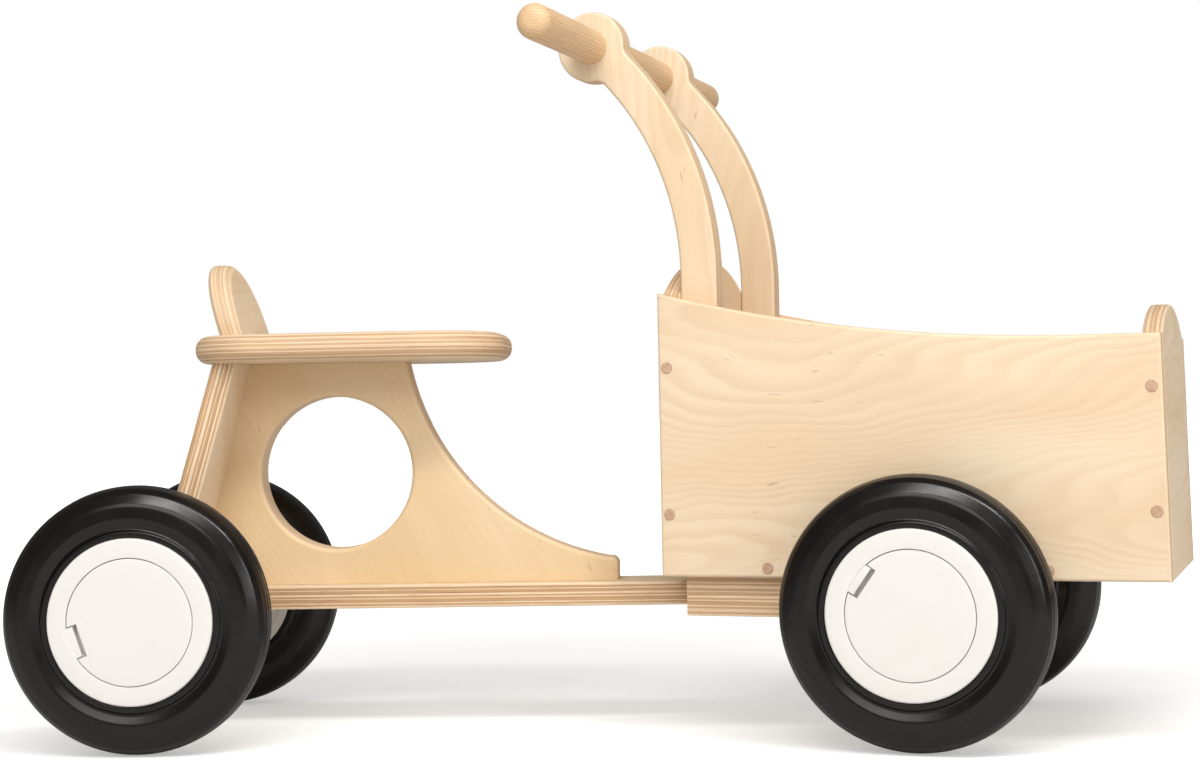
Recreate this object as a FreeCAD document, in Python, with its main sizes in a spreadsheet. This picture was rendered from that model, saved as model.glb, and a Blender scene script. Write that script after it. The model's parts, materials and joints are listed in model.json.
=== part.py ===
import FreeCAD, Part
import math
import os
import Sketcher

# A child's four-wheel wooden ride-on with a cargo box in front.
#
# Everything is drawn with the steering straight ahead: X forward from the rear
# axle, Y to the rider's left, Z up from the ground. The front truck (box,
# handlebar, axle rails and front wheels) is then swung about the pivot bolt by
# the resting steering angle, and the whole toy is moved so that the middle of
# its bounding box sits above the origin.

os.makedirs("parts", exist_ok=True)
doc = FreeCAD.newDocument("CargoRideOn")

# ------------------------------------------------------------ driving sizes
SIZES = [
    # where the rest pose stands
    ("origin_x", 291.664, "bounding box middle, ahead of the rear axle"),
    ("origin_y", 23.678, "bounding box middle, left of the centreline"),
    ("steer_rest", 16.6, "degrees the truck is turned to the right at rest"),
    # running gear
    ("wheel_radius", 82.5, "tyre outside radius, and height of both axles"),
    ("tyre_half", 18, "half width of a tyre"),
    ("hub_radius", 51, "radius of the rim where the tyre sits"),
    ("hub_face", 18.9, "rim face from the wheel's middle plane"),
    ("cap_radius", 38.6, "hub cap radius"),
    ("cap_thick", 3.2, "hub cap thickness"),
    ("cap_gap", 0.35, "groove around the hub cap"),
    ("slot_length", 20.5, "release slot along the cap's edge"),
    ("slot_depth", 7.6, "release slot, edge of cap inwards"),
    ("rear_slot_turn", 199, "degrees, where the rear wheel's slot stopped"),
    ("front_slot_turn", 145, "degrees, where the front wheel's slot stopped"),
    ("track", 220, "between wheel middle planes, both axles"),
    ("wheelbase", 506, "rear axle to front axle, straight ahead"),
    ("axle_radius", 4, "steel rod radius"),
    ("bush_gap", 0.06, "radial running clearance of the wheel bushes"),
    ("bush_radius", 7, "bush outside radius"),
    ("side_gap", 0.4, "end float on each side of a wheel"),
    ("nut_radius", 8, "push-on axle nut radius"),
    ("nut_thick", 5, "push-on axle nut thickness"),
    # backbone
    ("beam_width", 50, "base beam width, and its rounded nose diameter"),
    ("beam_bottom", 79.2, "base beam underside"),
    ("beam_top", 94.2, "base beam upper face"),
    ("beam_nose", 459, "front end of the base beam"),
    ("beam_tail", 8, "rear end of the base beam, let into the block"),
    ("block_half_length", 25, "rear axle block, half of its length"),
    ("block_half_width", 75, "rear axle block, half of its width"),
    ("block_bottom", 71, "rear axle block underside"),
    ("web_thick", 24, "centre web thickness"),
    ("web_hole_radius", 50, "round hole in the centre web"),
    ("web_hole_x", 105.5, "round hole centre"),
    ("web_hole_z", 167.3, "round hole centre"),
    ("web_shoulder", 153, "front end of the web's top edge"),
    ("web_toe", 290, "front end of the web"),
    ("web_toe_top", 108.5, "height of the toe above ground"),
    ("web_curve", 163, "radius of the web's hollow front edge"),
    ("web_round", 3, "rounding of the web's open edges"),
    # back panel and seat
    ("lean_foot_x", 12, "back panel front face at its foot"),
    ("lean_head_x", 49.8, "back panel front face under the seat"),
    ("lean_depth", 15.5, "back panel thickness measured level"),
    ("lean_foot_half", 74.5, "half width of the back panel at its foot"),
    ("lean_head_half", 54.5, "half width of the back panel under the seat"),
    ("seat_bottom", 239.5, "seat board underside"),
    ("seat_thick", 18, "seat board thickness"),
    ("seat_rear", 19, "rear end of the seat board"),
    ("seat_front", 219, "front end of the seat board"),
    ("seat_half", 75, "half width of the seat board"),
    ("seat_rear_corner", 46, "plan radius of the rear corners"),
    ("seat_front_corner", 52, "plan radius of the front corners"),
    ("seat_round", 8.4, "bullnose of the seat board's edge"),
    ("rest_foot_x", 51, "backrest front face where it meets the seat"),
    ("rest_lean", 14.5, "how far the backrest's top leans back"),
    ("rest_depth", 15.3, "backrest thickness measured level"),
    ("rest_half", 44, "half width of the backrest"),
    ("rest_top", 306, "top of the backrest"),
    ("rest_round", 4.5, "rounding of the backrest's edge"),
    # cargo box
    ("board", 12, "cargo box board thickness"),
    ("box_rear", 341, "rear face of the cargo box"),
    ("box_front", 650.5, "front face of the cargo box at its foot"),
    ("box_rake", 3.5, "how far the front face leans back at its top"),
    ("box_half", 88, "half width of the cargo box"),
    ("box_bottom", 100, "underside of the cargo box"),
    ("side_rear_top", 278, "side panel height at the rear"),
    ("side_front_top", 244.5, "side panel height at the front"),
    ("side_flat_x", 600, "where the side panel's top edge runs level"),
    ("rear_crown", 303, "middle of the rear panel's arched top"),
    ("front_crown", 264, "middle of the front panel's arched top"),
    ("box_round", 2.2, "rounding of the boards' outer edges"),
    ("plug_radius", 3.5, "dowel plugs through the side panels"),
    ("plug_length", 32, "dowel plug length"),
    ("plug_proud", 0.15, "how far a plug stands out of the side panel"),
    # handlebar
    ("arm_thick", 15, "handle arm thickness"),
    ("arm_outer", 76, "outer face of a handle arm from the centreline"),
    ("arm_depth", 24, "handle arm, front to rear"),
    ("arm_bend_z", 289, "height where the arm starts to bend"),
    ("arm_bend", 184, "inner radius of the arm's bend"),
    ("arm_head", 22.5, "radius of the arm's round head"),
    ("head_angle", 49.8, "degrees around the bend to the head"),
    ("neck_round", 9, "hollow rounding where the arm meets its head"),
    ("arm_round", 2, "rounding of the arm's edges"),
    ("bar_radius", 11.2, "handlebar dowel radius"),
    ("grip_radius", 11, "handlebar grip radius, outside the arms"),
    ("bar_half", 180, "half length of the handlebar"),
    ("bar_end", 9.5, "rounding of the handlebar's ends"),
    # steered axle rails and pivot
    ("rail_bottom", 75.2, "underside of the axle rails"),
    ("rail_inner", 56, "inner face of a rail from the centreline"),
    ("rail_outer", 80, "outer face of a rail from the centreline"),
    ("rail_rear", 355, "rear end of the rails"),
    ("rail_front", 540, "front end of the rails"),
    ("pivot_x", 428, "steering pivot, ahead of the rear axle"),
    ("pivot_radius", 5, "pivot bolt shank radius"),
    ("bolt_head", 10.5, "pivot bolt head radius"),
    ("bolt_dome", 5, "pivot bolt head height"),
    ("pivot_gap", 0.08, "radial running clearance of the pivot"),
    ("pivot_face_gap", 0.35, "free play above and below the beam"),
    ("pivot_washer", 14, "pivot washer radius"),
    ("pivot_nut", 8.5, "pivot lock nut, half of its width across flats"),
    ("pivot_nut_thick", 9, "pivot lock nut thickness"),
    # loose fasteners
    ("screw_radius", 2.2, "wood screw shank radius"),
    ("screw_head", 4.4, "wood screw head radius"),
    ("screw_head_depth", 3.2, "wood screw head depth"),
    ("dowel_radius", 4, "hidden joint dowel radius"),
]

sheet = doc.addObject("Spreadsheet::Sheet", "Sizes")
for row, (alias, number, note) in enumerate(SIZES, start=1):
    sheet.set("A%d" % row, alias)
    sheet.set("B%d" % row, str(number))
    sheet.set("C%d" % row, note)
    sheet.setAlias("B%d" % row, alias)
doc.recompute()


class Size:
    """A number together with the sheet expression that drives it."""

    def __init__(self, number, formula=None):
        self.number = float(number)
        self.formula = formula if formula else "(%r)" % float(number)

    def __add__(self, other):
        other = as_size(other)
        return Size(self.number + other.number, "(%s + %s)" % (self.formula, other.formula))

    def __sub__(self, other):
        other = as_size(other)
        return Size(self.number - other.number, "(%s - %s)" % (self.formula, other.formula))

    def __mul__(self, other):
        other = as_size(other)
        return Size(self.number * other.number, "(%s * %s)" % (self.formula, other.formula))

    def __truediv__(self, other):
        other = as_size(other)
        return Size(self.number / other.number, "(%s / %s)" % (self.formula, other.formula))

    def __neg__(self):
        return Size(-self.number, "(0 - %s)" % self.formula)

    def __radd__(self, other):
        return as_size(other) + self

    def __rsub__(self, other):
        return as_size(other) - self

    def __rmul__(self, other):
        return as_size(other) * self


def as_size(value):
    return value if isinstance(value, Size) else Size(value)


def cos_of(angle):
    return Size(math.cos(math.radians(angle.number)), "cos(%s * 1 deg)" % angle.formula)


def sin_of(angle):
    return Size(math.sin(math.radians(angle.number)), "sin(%s * 1 deg)" % angle.formula)


def root_of(value):
    return Size(math.sqrt(value.number), "sqrt(%s)" % value.formula)


class Sizes:
    """Every cell of the sheet as an attribute."""


d = Sizes()
for alias, number, note in SIZES:
    setattr(d, alias, Size(number, "Sizes.%s" % alias))

# ------------------------------------------------------------ placements
X, Y, Z = (1, 0, 0), (0, 1, 0), (0, 0, 1)


def step(x=0, y=0, z=0, axis=Z, angle=0):
    """One move of a placement: turn about an axis through the moved origin."""
    return "placement(vector(%s; %s; %s); rotation(vector(%d; %d; %d); %s))" % (
        as_size(x).formula, as_size(y).formula, as_size(z).formula,
        axis[0], axis[1], axis[2], as_size(angle).formula)


FRAME = [step(-d.origin_x, -d.origin_y, 0)]
TRUCK = FRAME + [step(d.pivot_x, 0, 0, Z, -d.steer_rest), step(-d.pivot_x, 0, 0)]


def place(obj, steps):
    obj.setExpression("Placement", " * ".join(steps))


nodes = []


def node(obj, label, steps):
    """Name a finished sub-part, put it in its place and list it for export."""
    obj.Label = label
    place(obj, steps)
    nodes.append(obj)
    return obj


# ------------------------------------------------------------ sketch and solid helpers
def plane_of(body, role):
    return [f for f in body.Origin.OriginFeatures if f.Role == role][0]


def pin(sketch, geo, pos, x, y):
    """Hold a sketch point at driven distances from the sketch origin."""
    for kind, value, axis in (("DistanceX", as_size(x), -2), ("DistanceY", as_size(y), -1)):
        if abs(value.number) < 1e-9:
            sketch.addConstraint(Sketcher.Constraint("PointOnObject", geo, pos, axis))
        else:
            n = sketch.addConstraint(Sketcher.Constraint(kind, -1, 1, geo, pos, value.number))
            sketch.setExpression("Constraints[%d]" % n, value.formula)


def circle(sketch, x, y, radius):
    x, y, radius = as_size(x), as_size(y), as_size(radius)
    geo = sketch.addGeometry(
        Part.Circle(FreeCAD.Vector(x.number, y.number, 0), FreeCAD.Vector(0, 0, 1), radius.number), False)
    pin(sketch, geo, 3, x, y)
    n = sketch.addConstraint(Sketcher.Constraint("Radius", geo, radius.number))
    sketch.setExpression("Constraints[%d]" % n, radius.formula)


def outline(sketch, corners):
    """A closed loop. A corner is (x, y), or (x, y, bend) when the edge that
    leaves it is an arc: a positive bend turns left along the way, a negative
    one turns right."""
    corners = [tuple(as_size(v) for v in c) for c in corners]
    edges = []
    for i, a in enumerate(corners):
        b = corners[(i + 1) % len(corners)]
        p = FreeCAD.Vector(a[0].number, a[1].number, 0)
        q = FreeCAD.Vector(b[0].number, b[1].number, 0)
        if len(a) == 2:
            geo = sketch.addGeometry(Part.LineSegment(p, q), False)
            edges.append((geo, 1, 2))
            continue
        bend = a[2]
        radius = abs(bend.number)
        chord = q - p
        rise = math.sqrt(max(radius ** 2 - (chord.Length / 2) ** 2, 0))
        left = FreeCAD.Vector(-chord.y, chord.x, 0).normalize()
        turn = 1 if bend.number > 0 else -1
        centre = (p + q) * 0.5 + left * (rise * turn)
        first, last = (p, q) if turn > 0 else (q, p)
        start = math.atan2(first.y - centre.y, first.x - centre.x)
        end = math.atan2(last.y - centre.y, last.x - centre.x)
        if end <= start:
            end += 2 * math.pi
        geo = sketch.addGeometry(
            Part.ArcOfCircle(Part.Circle(centre, FreeCAD.Vector(0, 0, 1), radius), start, end), False)
        n = sketch.addConstraint(Sketcher.Constraint("Radius", geo, radius))
        sketch.setExpression("Constraints[%d]" % n, (bend if turn > 0 else -bend).formula)
        edges.append((geo, 1, 2) if turn > 0 else (geo, 2, 1))
    for i, (geo, start, end) in enumerate(edges):
        after = edges[(i + 1) % len(edges)]
        pin(sketch, geo, start, corners[i][0], corners[i][1])
        sketch.addConstraint(Sketcher.Constraint("Coincident", geo, end, after[0], after[1]))


def arch(rise, span):
    """Radius of the arc that rises this much over a half span."""
    rise, span = as_size(rise), as_size(span)
    return (span * span + rise * rise) / (2 * rise)


def sketch_on(body, name, role, offset=0):
    sketch = body.newObject("Sketcher::SketchObject", name)
    sketch.AttachmentSupport = [(plane_of(body, role), "")]
    sketch.MapMode = "FlatFace"
    if as_size(offset).number:
        sketch.setExpression("AttachmentOffset.Base.z", as_size(offset).formula)
    return sketch


def new_body(name):
    return doc.addObject("PartDesign::Body", name)


def pad(body, sketch, length, symmetric=False):
    feature = body.newObject("PartDesign::Pad", sketch.Name + "_pad")
    feature.Profile = sketch
    feature.setExpression("Length", as_size(length).formula)
    feature.SideType = "Symmetric" if symmetric else "One side"
    sketch.Visibility = False
    doc.recompute()
    return feature


def pocket_through(body, sketch):
    """Cut the sketch right through the body, both ways."""
    feature = body.newObject("PartDesign::Pocket", sketch.Name + "_pocket")
    feature.Profile = sketch
    feature.Type = "ThroughAll"
    feature.SideType = "Symmetric"
    sketch.Visibility = False
    doc.recompute()
    return feature


def revolve(body, sketch, kind="PartDesign::Revolution"):
    feature = body.newObject(kind, sketch.Name + "_turned")
    feature.Profile = sketch
    feature.ReferenceAxis = (sketch, ["V_Axis"])
    feature.Angle = 360
    sketch.Visibility = False
    doc.recompute()
    return feature


def fillet(body, radius, wanted):
    """Round the body's edges for which wanted(edge) is true."""
    tip = body.Tip
    names = ["Edge%d" % (i + 1) for i, e in enumerate(tip.Shape.Edges) if wanted(e)]
    feature = body.newObject("PartDesign::Fillet", body.Name + "_round")
    feature.Base = (tip, names)
    feature.setExpression("Radius", radius.formula)
    doc.recompute()
    return feature


def lies_at(edge, axis, level, tolerance=0.01):
    """True when the whole edge lies on the plane axis = level."""
    box = edge.BoundBox
    low = (box.XMin, box.YMin, box.ZMin)[axis]
    high = (box.XMax, box.YMax, box.ZMax)[axis]
    return abs(low - level) < tolerance and abs(high - level) < tolerance


def box(name, x0, x1, y0, y1, z0, z1):
    solid = doc.addObject("Part::Box", name)
    for prop, low, high in (("Length", x0, x1), ("Width", y0, y1), ("Height", z0, z1)):
        solid.setExpression(prop, (as_size(high) - as_size(low)).formula)
    place(solid, [step(x0, y0, z0)])
    return solid


def rod(name, radius, length, steps, shape="Part::Cylinder"):
    solid = doc.addObject(shape, name)
    solid.setExpression("Radius", as_size(radius).formula)
    solid.setExpression("Height", as_size(length).formula)
    place(solid, steps)
    return solid


def group(name, members):
    joined = doc.addObject("Part::Compound", name)
    joined.Links = members
    return joined


def mirrored(name, source):
    """The other hand of a part, across the centreline."""
    twin = doc.addObject("Part::Mirroring", name)
    twin.Source = source
    twin.Normal = FreeCAD.Vector(0, 1, 0)
    doc.recompute()
    return twin


def cut(name, base, tool):
    result = doc.addObject("Part::Cut", name)
    result.Base = base
    result.Tool = tool
    return result


def screw(name, length, steps):
    """A countersunk wood screw: head flush at its origin, point towards +Z."""
    shank = rod(name + "_shank", d.screw_radius, length, [step()])
    head = doc.addObject("Part::Cone", name + "_head")
    head.setExpression("Radius1", d.screw_head.formula)
    head.setExpression("Radius2", d.screw_radius.formula)
    head.setExpression("Height", d.screw_head_depth.formula)
    whole = doc.addObject("Part::Fuse", name)
    whole.Base = shank
    whole.Tool = head
    place(whole, steps)
    return whole


# ------------------------------------------------------------ frame: fasteners first
axle_z = d.wheel_radius
seat_top = d.seat_bottom + d.seat_thick
axle_half = d.track / 2 + 12

frame_screws = [
    screw("beam_screw_%d" % i, 45, [step(x, 0, d.beam_bottom)])
    for i, x in enumerate([60, 170])] + [
    screw("beam_screw_2", 30, [step(265, 0, d.beam_bottom)])]
block_screws = [
    screw("tenon_screw_%d" % i, 21, [step(17, y, d.block_bottom)])
    for i, y in enumerate([-14, 14])
]
lean_top_x = d.lean_head_x - d.lean_depth / 2
seat_dowels = [
    rod("seat_dowel_%d" % i, d.dowel_radius, 24, [step(x, y, d.seat_bottom - 12)])
    for i, (x, y) in enumerate([(75, 0), (135, 0), (lean_top_x - 1, -32), (lean_top_x - 1, 32)])
]
rest_dowels = [
    rod("backrest_dowel_%d" % i, d.dowel_radius - 1, 22, [step(d.rest_foot_x - d.rest_depth / 2 - 1.5, y, seat_top - 10)])
    for i, y in enumerate([-18, 18])
]
rear_rod = rod("rear_rod", d.axle_radius, axle_half * 2, [step(0, axle_half, axle_z, X, 90)])
frame_joinery = group("frame_joinery", frame_screws + block_screws + seat_dowels + rest_dowels + [rear_rod])

# base beam, let into the rear block and rounded at its nose
beam_body = new_body("beam_body")
sketch = sketch_on(beam_body, "beam_outline", "XY_Plane", d.beam_bottom)
half = d.beam_width / 2
outline(sketch, [
    (d.beam_tail, -half), (d.beam_nose - half, -half, half), (d.beam_nose, 0, half),
    (d.beam_nose - half, half), (d.beam_tail, half)])
circle(sketch, d.pivot_x, 0, d.pivot_radius + d.pivot_gap)
pad(beam_body, sketch, d.beam_top - d.beam_bottom)
fillet(beam_body, d.box_round, lambda e: e.BoundBox.XMin > 20 and e.BoundBox.YLength > 12 and
       (lies_at(e, 2, d.beam_bottom.number) or lies_at(e, 2, d.beam_top.number)) and e.BoundBox.XMax > 440)
node(cut("base_beam", beam_body, frame_joinery), "base_beam", FRAME)

# rear axle block with the beam's pocket
block = box("block_blank", -d.block_half_length, d.block_half_length,
            -d.block_half_width, d.block_half_width, d.block_bottom, d.beam_top)
tenon = box("tenon_room", d.beam_tail, d.block_half_length + 5, -half, half, d.beam_bottom, d.beam_top + 5)
housed = cut("block_housed", block, tenon)
node(cut("rear_axle_block", housed, frame_joinery), "rear_axle_block", FRAME)

# centre web with the round hole and the hollow front edge
lean_slope = (d.lean_head_x - d.lean_foot_x) / (d.seat_bottom - d.beam_top)
web_body = new_body("web_body")
sketch = sketch_on(web_body, "web_outline", "XZ_Plane")
outline(sketch, [
    (d.lean_foot_x, d.beam_top), (d.web_toe, d.beam_top),
    (d.web_toe, d.web_toe_top - 5, d.web_round + 2),
    (d.web_toe - 6, d.web_toe_top + 1, -d.web_curve),
    (d.web_shoulder, d.seat_bottom), (d.lean_head_x, d.seat_bottom)])
circle(sketch, d.web_hole_x, d.web_hole_z, d.web_hole_radius)
pad(web_body, sketch, d.web_thick, symmetric=True)
web_y = d.web_thick.number / 2
fillet(web_body, d.web_round, lambda e: (lies_at(e, 1, web_y) or lies_at(e, 1, -web_y)) and
       e.BoundBox.ZMin > 95.5 and e.BoundBox.ZMax < 239.6 and e.BoundBox.XMin > 53 and
       not lies_at(e, 2, 239.5) or (lies_at(e, 0, 290) and e.BoundBox.ZMin > 94 and abs(e.BoundBox.YMin) > 11 and e.BoundBox.YLength < 0.01))
node(cut("centre_web", web_body, frame_joinery), "centre_web", FRAME)

# leaning back panel, narrower under the seat
back_body = new_body("back_body")
sketch = sketch_on(back_body, "back_side_view", "XZ_Plane")
outline(sketch, [
    (d.lean_foot_x, d.beam_top), (d.lean_head_x, d.seat_bottom),
    (d.lean_head_x - d.lean_depth, d.seat_bottom), (d.lean_foot_x - d.lean_depth, d.beam_top)])
pad(back_body, sketch, d.lean_foot_half * 2, symmetric=True)
sketch = sketch_on(back_body, "back_taper", "YZ_Plane")
for side in (-1, 1):
    outline(sketch, [
        (side * d.lean_foot_half, d.beam_top), (side * (d.lean_foot_half + 20), d.beam_top),
        (side * (d.lean_foot_half + 20), d.seat_bottom), (side * d.lean_head_half, d.seat_bottom)])
pocket_through(back_body, sketch)
fillet(back_body, d.box_round, lambda e: e.BoundBox.ZLength > 100)
node(cut("back_panel", back_body, frame_joinery), "back_panel", FRAME)

# seat board with a bullnose edge
seat_body = new_body("seat_body")
sketch = sketch_on(seat_body, "seat_outline", "XY_Plane", d.seat_bottom)
outline(sketch, [
    (d.seat_rear + d.seat_rear_corner, -d.seat_half),
    (d.seat_front - d.seat_front_corner, -d.seat_half, d.seat_front_corner),
    (d.seat_front, -d.seat_half + d.seat_front_corner),
    (d.seat_front, d.seat_half - d.seat_front_corner, d.seat_front_corner),
    (d.seat_front - d.seat_front_corner, d.seat_half),
    (d.seat_rear + d.seat_rear_corner, d.seat_half, d.seat_rear_corner),
    (d.seat_rear, d.seat_half - d.seat_rear_corner),
    (d.seat_rear, -d.seat_half + d.seat_rear_corner, d.seat_rear_corner)])
pad(seat_body, sketch, d.seat_thick)
fillet(seat_body, d.seat_round, lambda e: e.BoundBox.ZLength < 0.01)
node(cut("seat_board", seat_body, frame_joinery), "seat_board", FRAME)

# backrest: a dome that leans back on the seat
rest_body = new_body("rest_body")
sketch = sketch_on(rest_body, "rest_side_view", "XZ_Plane")
outline(sketch, [
    (d.rest_foot_x, seat_top), (d.rest_foot_x - d.rest_lean, d.rest_top),
    (d.rest_foot_x - d.rest_lean - d.rest_depth, d.rest_top), (d.rest_foot_x - d.rest_depth, seat_top)])
pad(rest_body, sketch, d.rest_half * 2, symmetric=True)
sketch = sketch_on(rest_body, "rest_dome", "YZ_Plane")
margin = d.rest_half + 20
dome_z = d.rest_top - d.rest_half
outline(sketch, [(-margin, seat_top - 10), (margin, seat_top - 10), (margin, d.rest_top + 20), (-margin, d.rest_top + 20)])
outline(sketch, [
    (-d.rest_half, seat_top - 5), (d.rest_half, seat_top - 5), (d.rest_half, dome_z, d.rest_half),
    (0, d.rest_top, d.rest_half), (-d.rest_half, dome_z)])
pocket_through(rest_body, sketch)
fillet(rest_body, d.rest_round, lambda e: e.BoundBox.ZMax > 260 and not e.BoundBox.ZMin < 257 and
       not (e.BoundBox.XLength > 12 and e.BoundBox.YLength < 0.01) and e.BoundBox.XLength < 14)
node(cut("backrest", rest_body, frame_joinery), "backrest", FRAME)

node(group("frame_screws", frame_screws), "frame_screws", FRAME)
node(group("block_screws", block_screws), "block_screws", FRAME)
node(group("seat_dowels", seat_dowels), "seat_dowels", FRAME)
node(group("backrest_dowels", rest_dowels), "backrest_dowels", FRAME)


# ------------------------------------------------------------ axles
def axle_set(prefix, rod_part, inner, x, steps):
    """The axle rod, its spacer tubes from the mounting out to the wheels, and
    the push-on nuts that hold the wheels on."""
    hub_inner = d.track / 2 - d.tyre_half
    nut_at = d.track / 2 + 6 + d.side_gap
    spacers, nuts = [], []
    for i, angle in enumerate((90, -90)):
        side = -1 if angle == 90 else 1
        tube = rod("%s_tube_%d" % (prefix, i), 7, hub_inner - d.side_gap - inner,
                   [step(x, side * inner, axle_z, X, angle)])
        core = rod("%s_core_%d" % (prefix, i), d.axle_radius, 200, [step(x, 0, axle_z, X, angle)])
        spacers.append(cut("%s_spacer_%d" % (prefix, i), tube, core))
        dome = rod("%s_dome_%d" % (prefix, i), d.nut_radius, d.nut_thick, [step(x, side * nut_at, axle_z, X, angle)])
        nuts.append(cut("%s_nut_%d" % (prefix, i), dome, rod_part))
    rod_node = group(prefix + "_axle_rod", [rod_part])
    node(rod_node, prefix + "_axle_rod", steps)
    node(group(prefix + "_axle_spacers", spacers), prefix + "_axle_spacers", steps)
    node(group(prefix + "_axle_nuts", nuts), prefix + "_axle_nuts", steps)


axle_set("rear", rear_rod, d.block_half_width, 0, FRAME)

# ------------------------------------------------------------ truck: fasteners first
floor_top = d.box_bottom + d.board
panel_mid = d.board / 2
side_in = d.box_half - d.board
front_rod = rod("front_rod", d.axle_radius, axle_half * 2, [step(d.wheelbase, axle_half, axle_z, X, 90)])

plug_spots = [
    (d.box_rear + panel_mid, 231), (d.box_rear + panel_mid, 139),
    (d.box_front - panel_mid - 3, 213.6), (d.box_front - panel_mid - 1.4, 141),
    (d.box_rear + 69, d.box_bottom + panel_mid), (d.box_front - 70, d.box_bottom + panel_mid)]
plugs = {}
for name, side, angle in (("right", -1, -90), ("left", 1, 90)):
    plugs[name] = [
        rod("plug_%s_%d" % (name, i), d.plug_radius, d.plug_length, [step(x, side * (d.box_half + d.plug_proud), z, X, angle)])
        for i, (x, z) in enumerate(plug_spots)]

arm_mid = d.arm_outer - d.arm_thick / 2
arm_screws = [
    screw("arm_screw_%d_%d" % (side, z), 30, [step(d.box_rear, side * arm_mid, z, Y, 90)])
    for side in (-1, 1) for z in (150, 225)]
rail_mid = (d.rail_inner + d.rail_outer) / 2
rail_screws = [
    screw("rail_screw_%d_%d" % (side, x), 34, [step(x, side * rail_mid, d.rail_bottom)])
    for side in (-1, 1) for x in (380, 455)]

# handlebar dowel with rounded ends
arm_x = d.box_rear + d.board
bend_x = arm_x + d.arm_depth - (d.arm_bend + d.arm_depth)
mid_bend = d.arm_bend + d.arm_depth / 2
bar_x = bend_x + mid_bend * cos_of(d.head_angle)
bar_z = d.arm_bend_z + mid_bend * sin_of(d.head_angle)
bar_body = new_body("bar_body")
sketch = sketch_on(bar_body, "bar_profile", "XZ_Plane")
grip_in = d.arm_outer + 0.5
outline(sketch, [
    (0, -d.bar_half), (d.grip_radius - d.bar_end, -d.bar_half, d.bar_end),
    (d.grip_radius, -d.bar_half + d.bar_end), (d.grip_radius, -grip_in), (d.bar_radius, -grip_in),
    (d.bar_radius, grip_in), (d.grip_radius, grip_in), (d.grip_radius, d.bar_half - d.bar_end, d.bar_end),
    (d.grip_radius - d.bar_end, d.bar_half), (0, d.bar_half)])
revolve(bar_body, sketch)
place(bar_body, [step(bar_x, 0, bar_z, X, 90)])

# pivot bolt: domed head on the box floor, washers, lock nut under the beam
bolt_bottom = d.beam_bottom - d.pivot_face_gap - 2 - d.pivot_nut_thick - 3
bolt = new_body("bolt")
sketch = sketch_on(bolt, "bolt_profile", "XZ_Plane")
outline(sketch, [
    (0, bolt_bottom), (d.pivot_radius - 0.8, bolt_bottom), (d.pivot_radius, bolt_bottom + 0.8),
    (d.pivot_radius, floor_top), (d.bolt_head, floor_top), (d.bolt_head, floor_top + 1.2, 12),
    (3, floor_top + d.bolt_dome), (0, floor_top + d.bolt_dome)])
revolve(bolt, sketch)
place(bolt, [step(d.pivot_x, 0, 0)])

truck_joinery = group("truck_joinery", plugs["right"] + plugs["left"] + arm_screws + rail_screws
                      + [front_rod, bar_body, bolt])

# floor
rake = d.box_rake / (d.side_front_top - d.box_bottom)
floor_blank = box("floor_blank", d.box_rear + d.board, d.box_front - d.board - rake * d.board,
                  -side_in, side_in, d.box_bottom, floor_top)
node(cut("cargo_floor", floor_blank, truck_joinery), "cargo_floor", TRUCK)

# side panels with the sagging top edge
side_rise = d.side_rear_top - d.side_front_top
side_run = d.side_flat_x - d.box_rear
side_bend = arch(side_rise, side_run)
side_head = d.box_front - d.box_rake
for name, side, start in (("right", -1, side_in), ("left", 1, -side_in)):
    body = new_body("side_%s_body" % name)
    sketch = sketch_on(body, "side_%s_outline" % name, "XZ_Plane", start)
    outline(sketch, [
        (d.box_rear, d.box_bottom), (d.box_front, d.box_bottom),
        (side_head, d.side_front_top), (d.side_flat_x, d.side_front_top, -side_bend),
        (d.box_rear, d.side_rear_top)])
    pad(body, sketch, d.board).Reversed = side > 0
    doc.recompute()
    outer_y = side * d.box_half.number
    fillet(body, d.box_round, lambda e: lies_at(e, 1, outer_y))
    node(cut("cargo_side_" + name, body, truck_joinery), "cargo_side_" + name, TRUCK)


def crown_panel(name, side_view, shoulder, crown):
    """A panel between the sides with an arched top."""
    body = new_body(name + "_body")
    sketch = sketch_on(body, name + "_side_view", "XZ_Plane")
    outline(sketch, side_view)
    pad(body, sketch, side_in * 2, symmetric=True)
    sketch = sketch_on(body, name + "_arch", "YZ_Plane")
    bend = arch(crown - shoulder, side_in)
    outline(sketch, [
        (-side_in - 10, shoulder), (-side_in, shoulder, -bend), (0, crown, -bend), (side_in, shoulder),
        (side_in + 10, shoulder), (side_in + 10, crown + 20), (-side_in - 10, crown + 20)])
    pocket_through(body, sketch)
    top = shoulder.number
    fillet(body, d.box_round, lambda e: e.BoundBox.ZMin > top - 1 and e.BoundBox.YLength > 20)
    return cut(name, body, truck_joinery)


node(crown_panel("cargo_rear_panel", [
    (d.box_rear, d.box_bottom), (d.box_rear + d.board, d.box_bottom),
    (d.box_rear + d.board, d.rear_crown + 10), (d.box_rear, d.rear_crown + 10)],
    d.side_rear_top, d.rear_crown), "cargo_rear_panel", TRUCK)

front_high = d.front_crown + 10
front_back = rake * (front_high - d.box_bottom)
node(crown_panel("cargo_front_panel", [
    (d.box_front - d.board, d.box_bottom), (d.box_front, d.box_bottom),
    (d.box_front - front_back, front_high), (d.box_front - d.board - front_back, front_high)],
    d.side_front_top, d.front_crown), "cargo_front_panel", TRUCK)

node(group("side_plugs_right", plugs["right"]), "side_plugs_right", TRUCK)
node(group("side_plugs_left", plugs["left"]), "side_plugs_left", TRUCK)

# handle arms: straight up from the floor, then bent back to a round head
outer_bend = d.arm_bend + d.arm_depth


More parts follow.
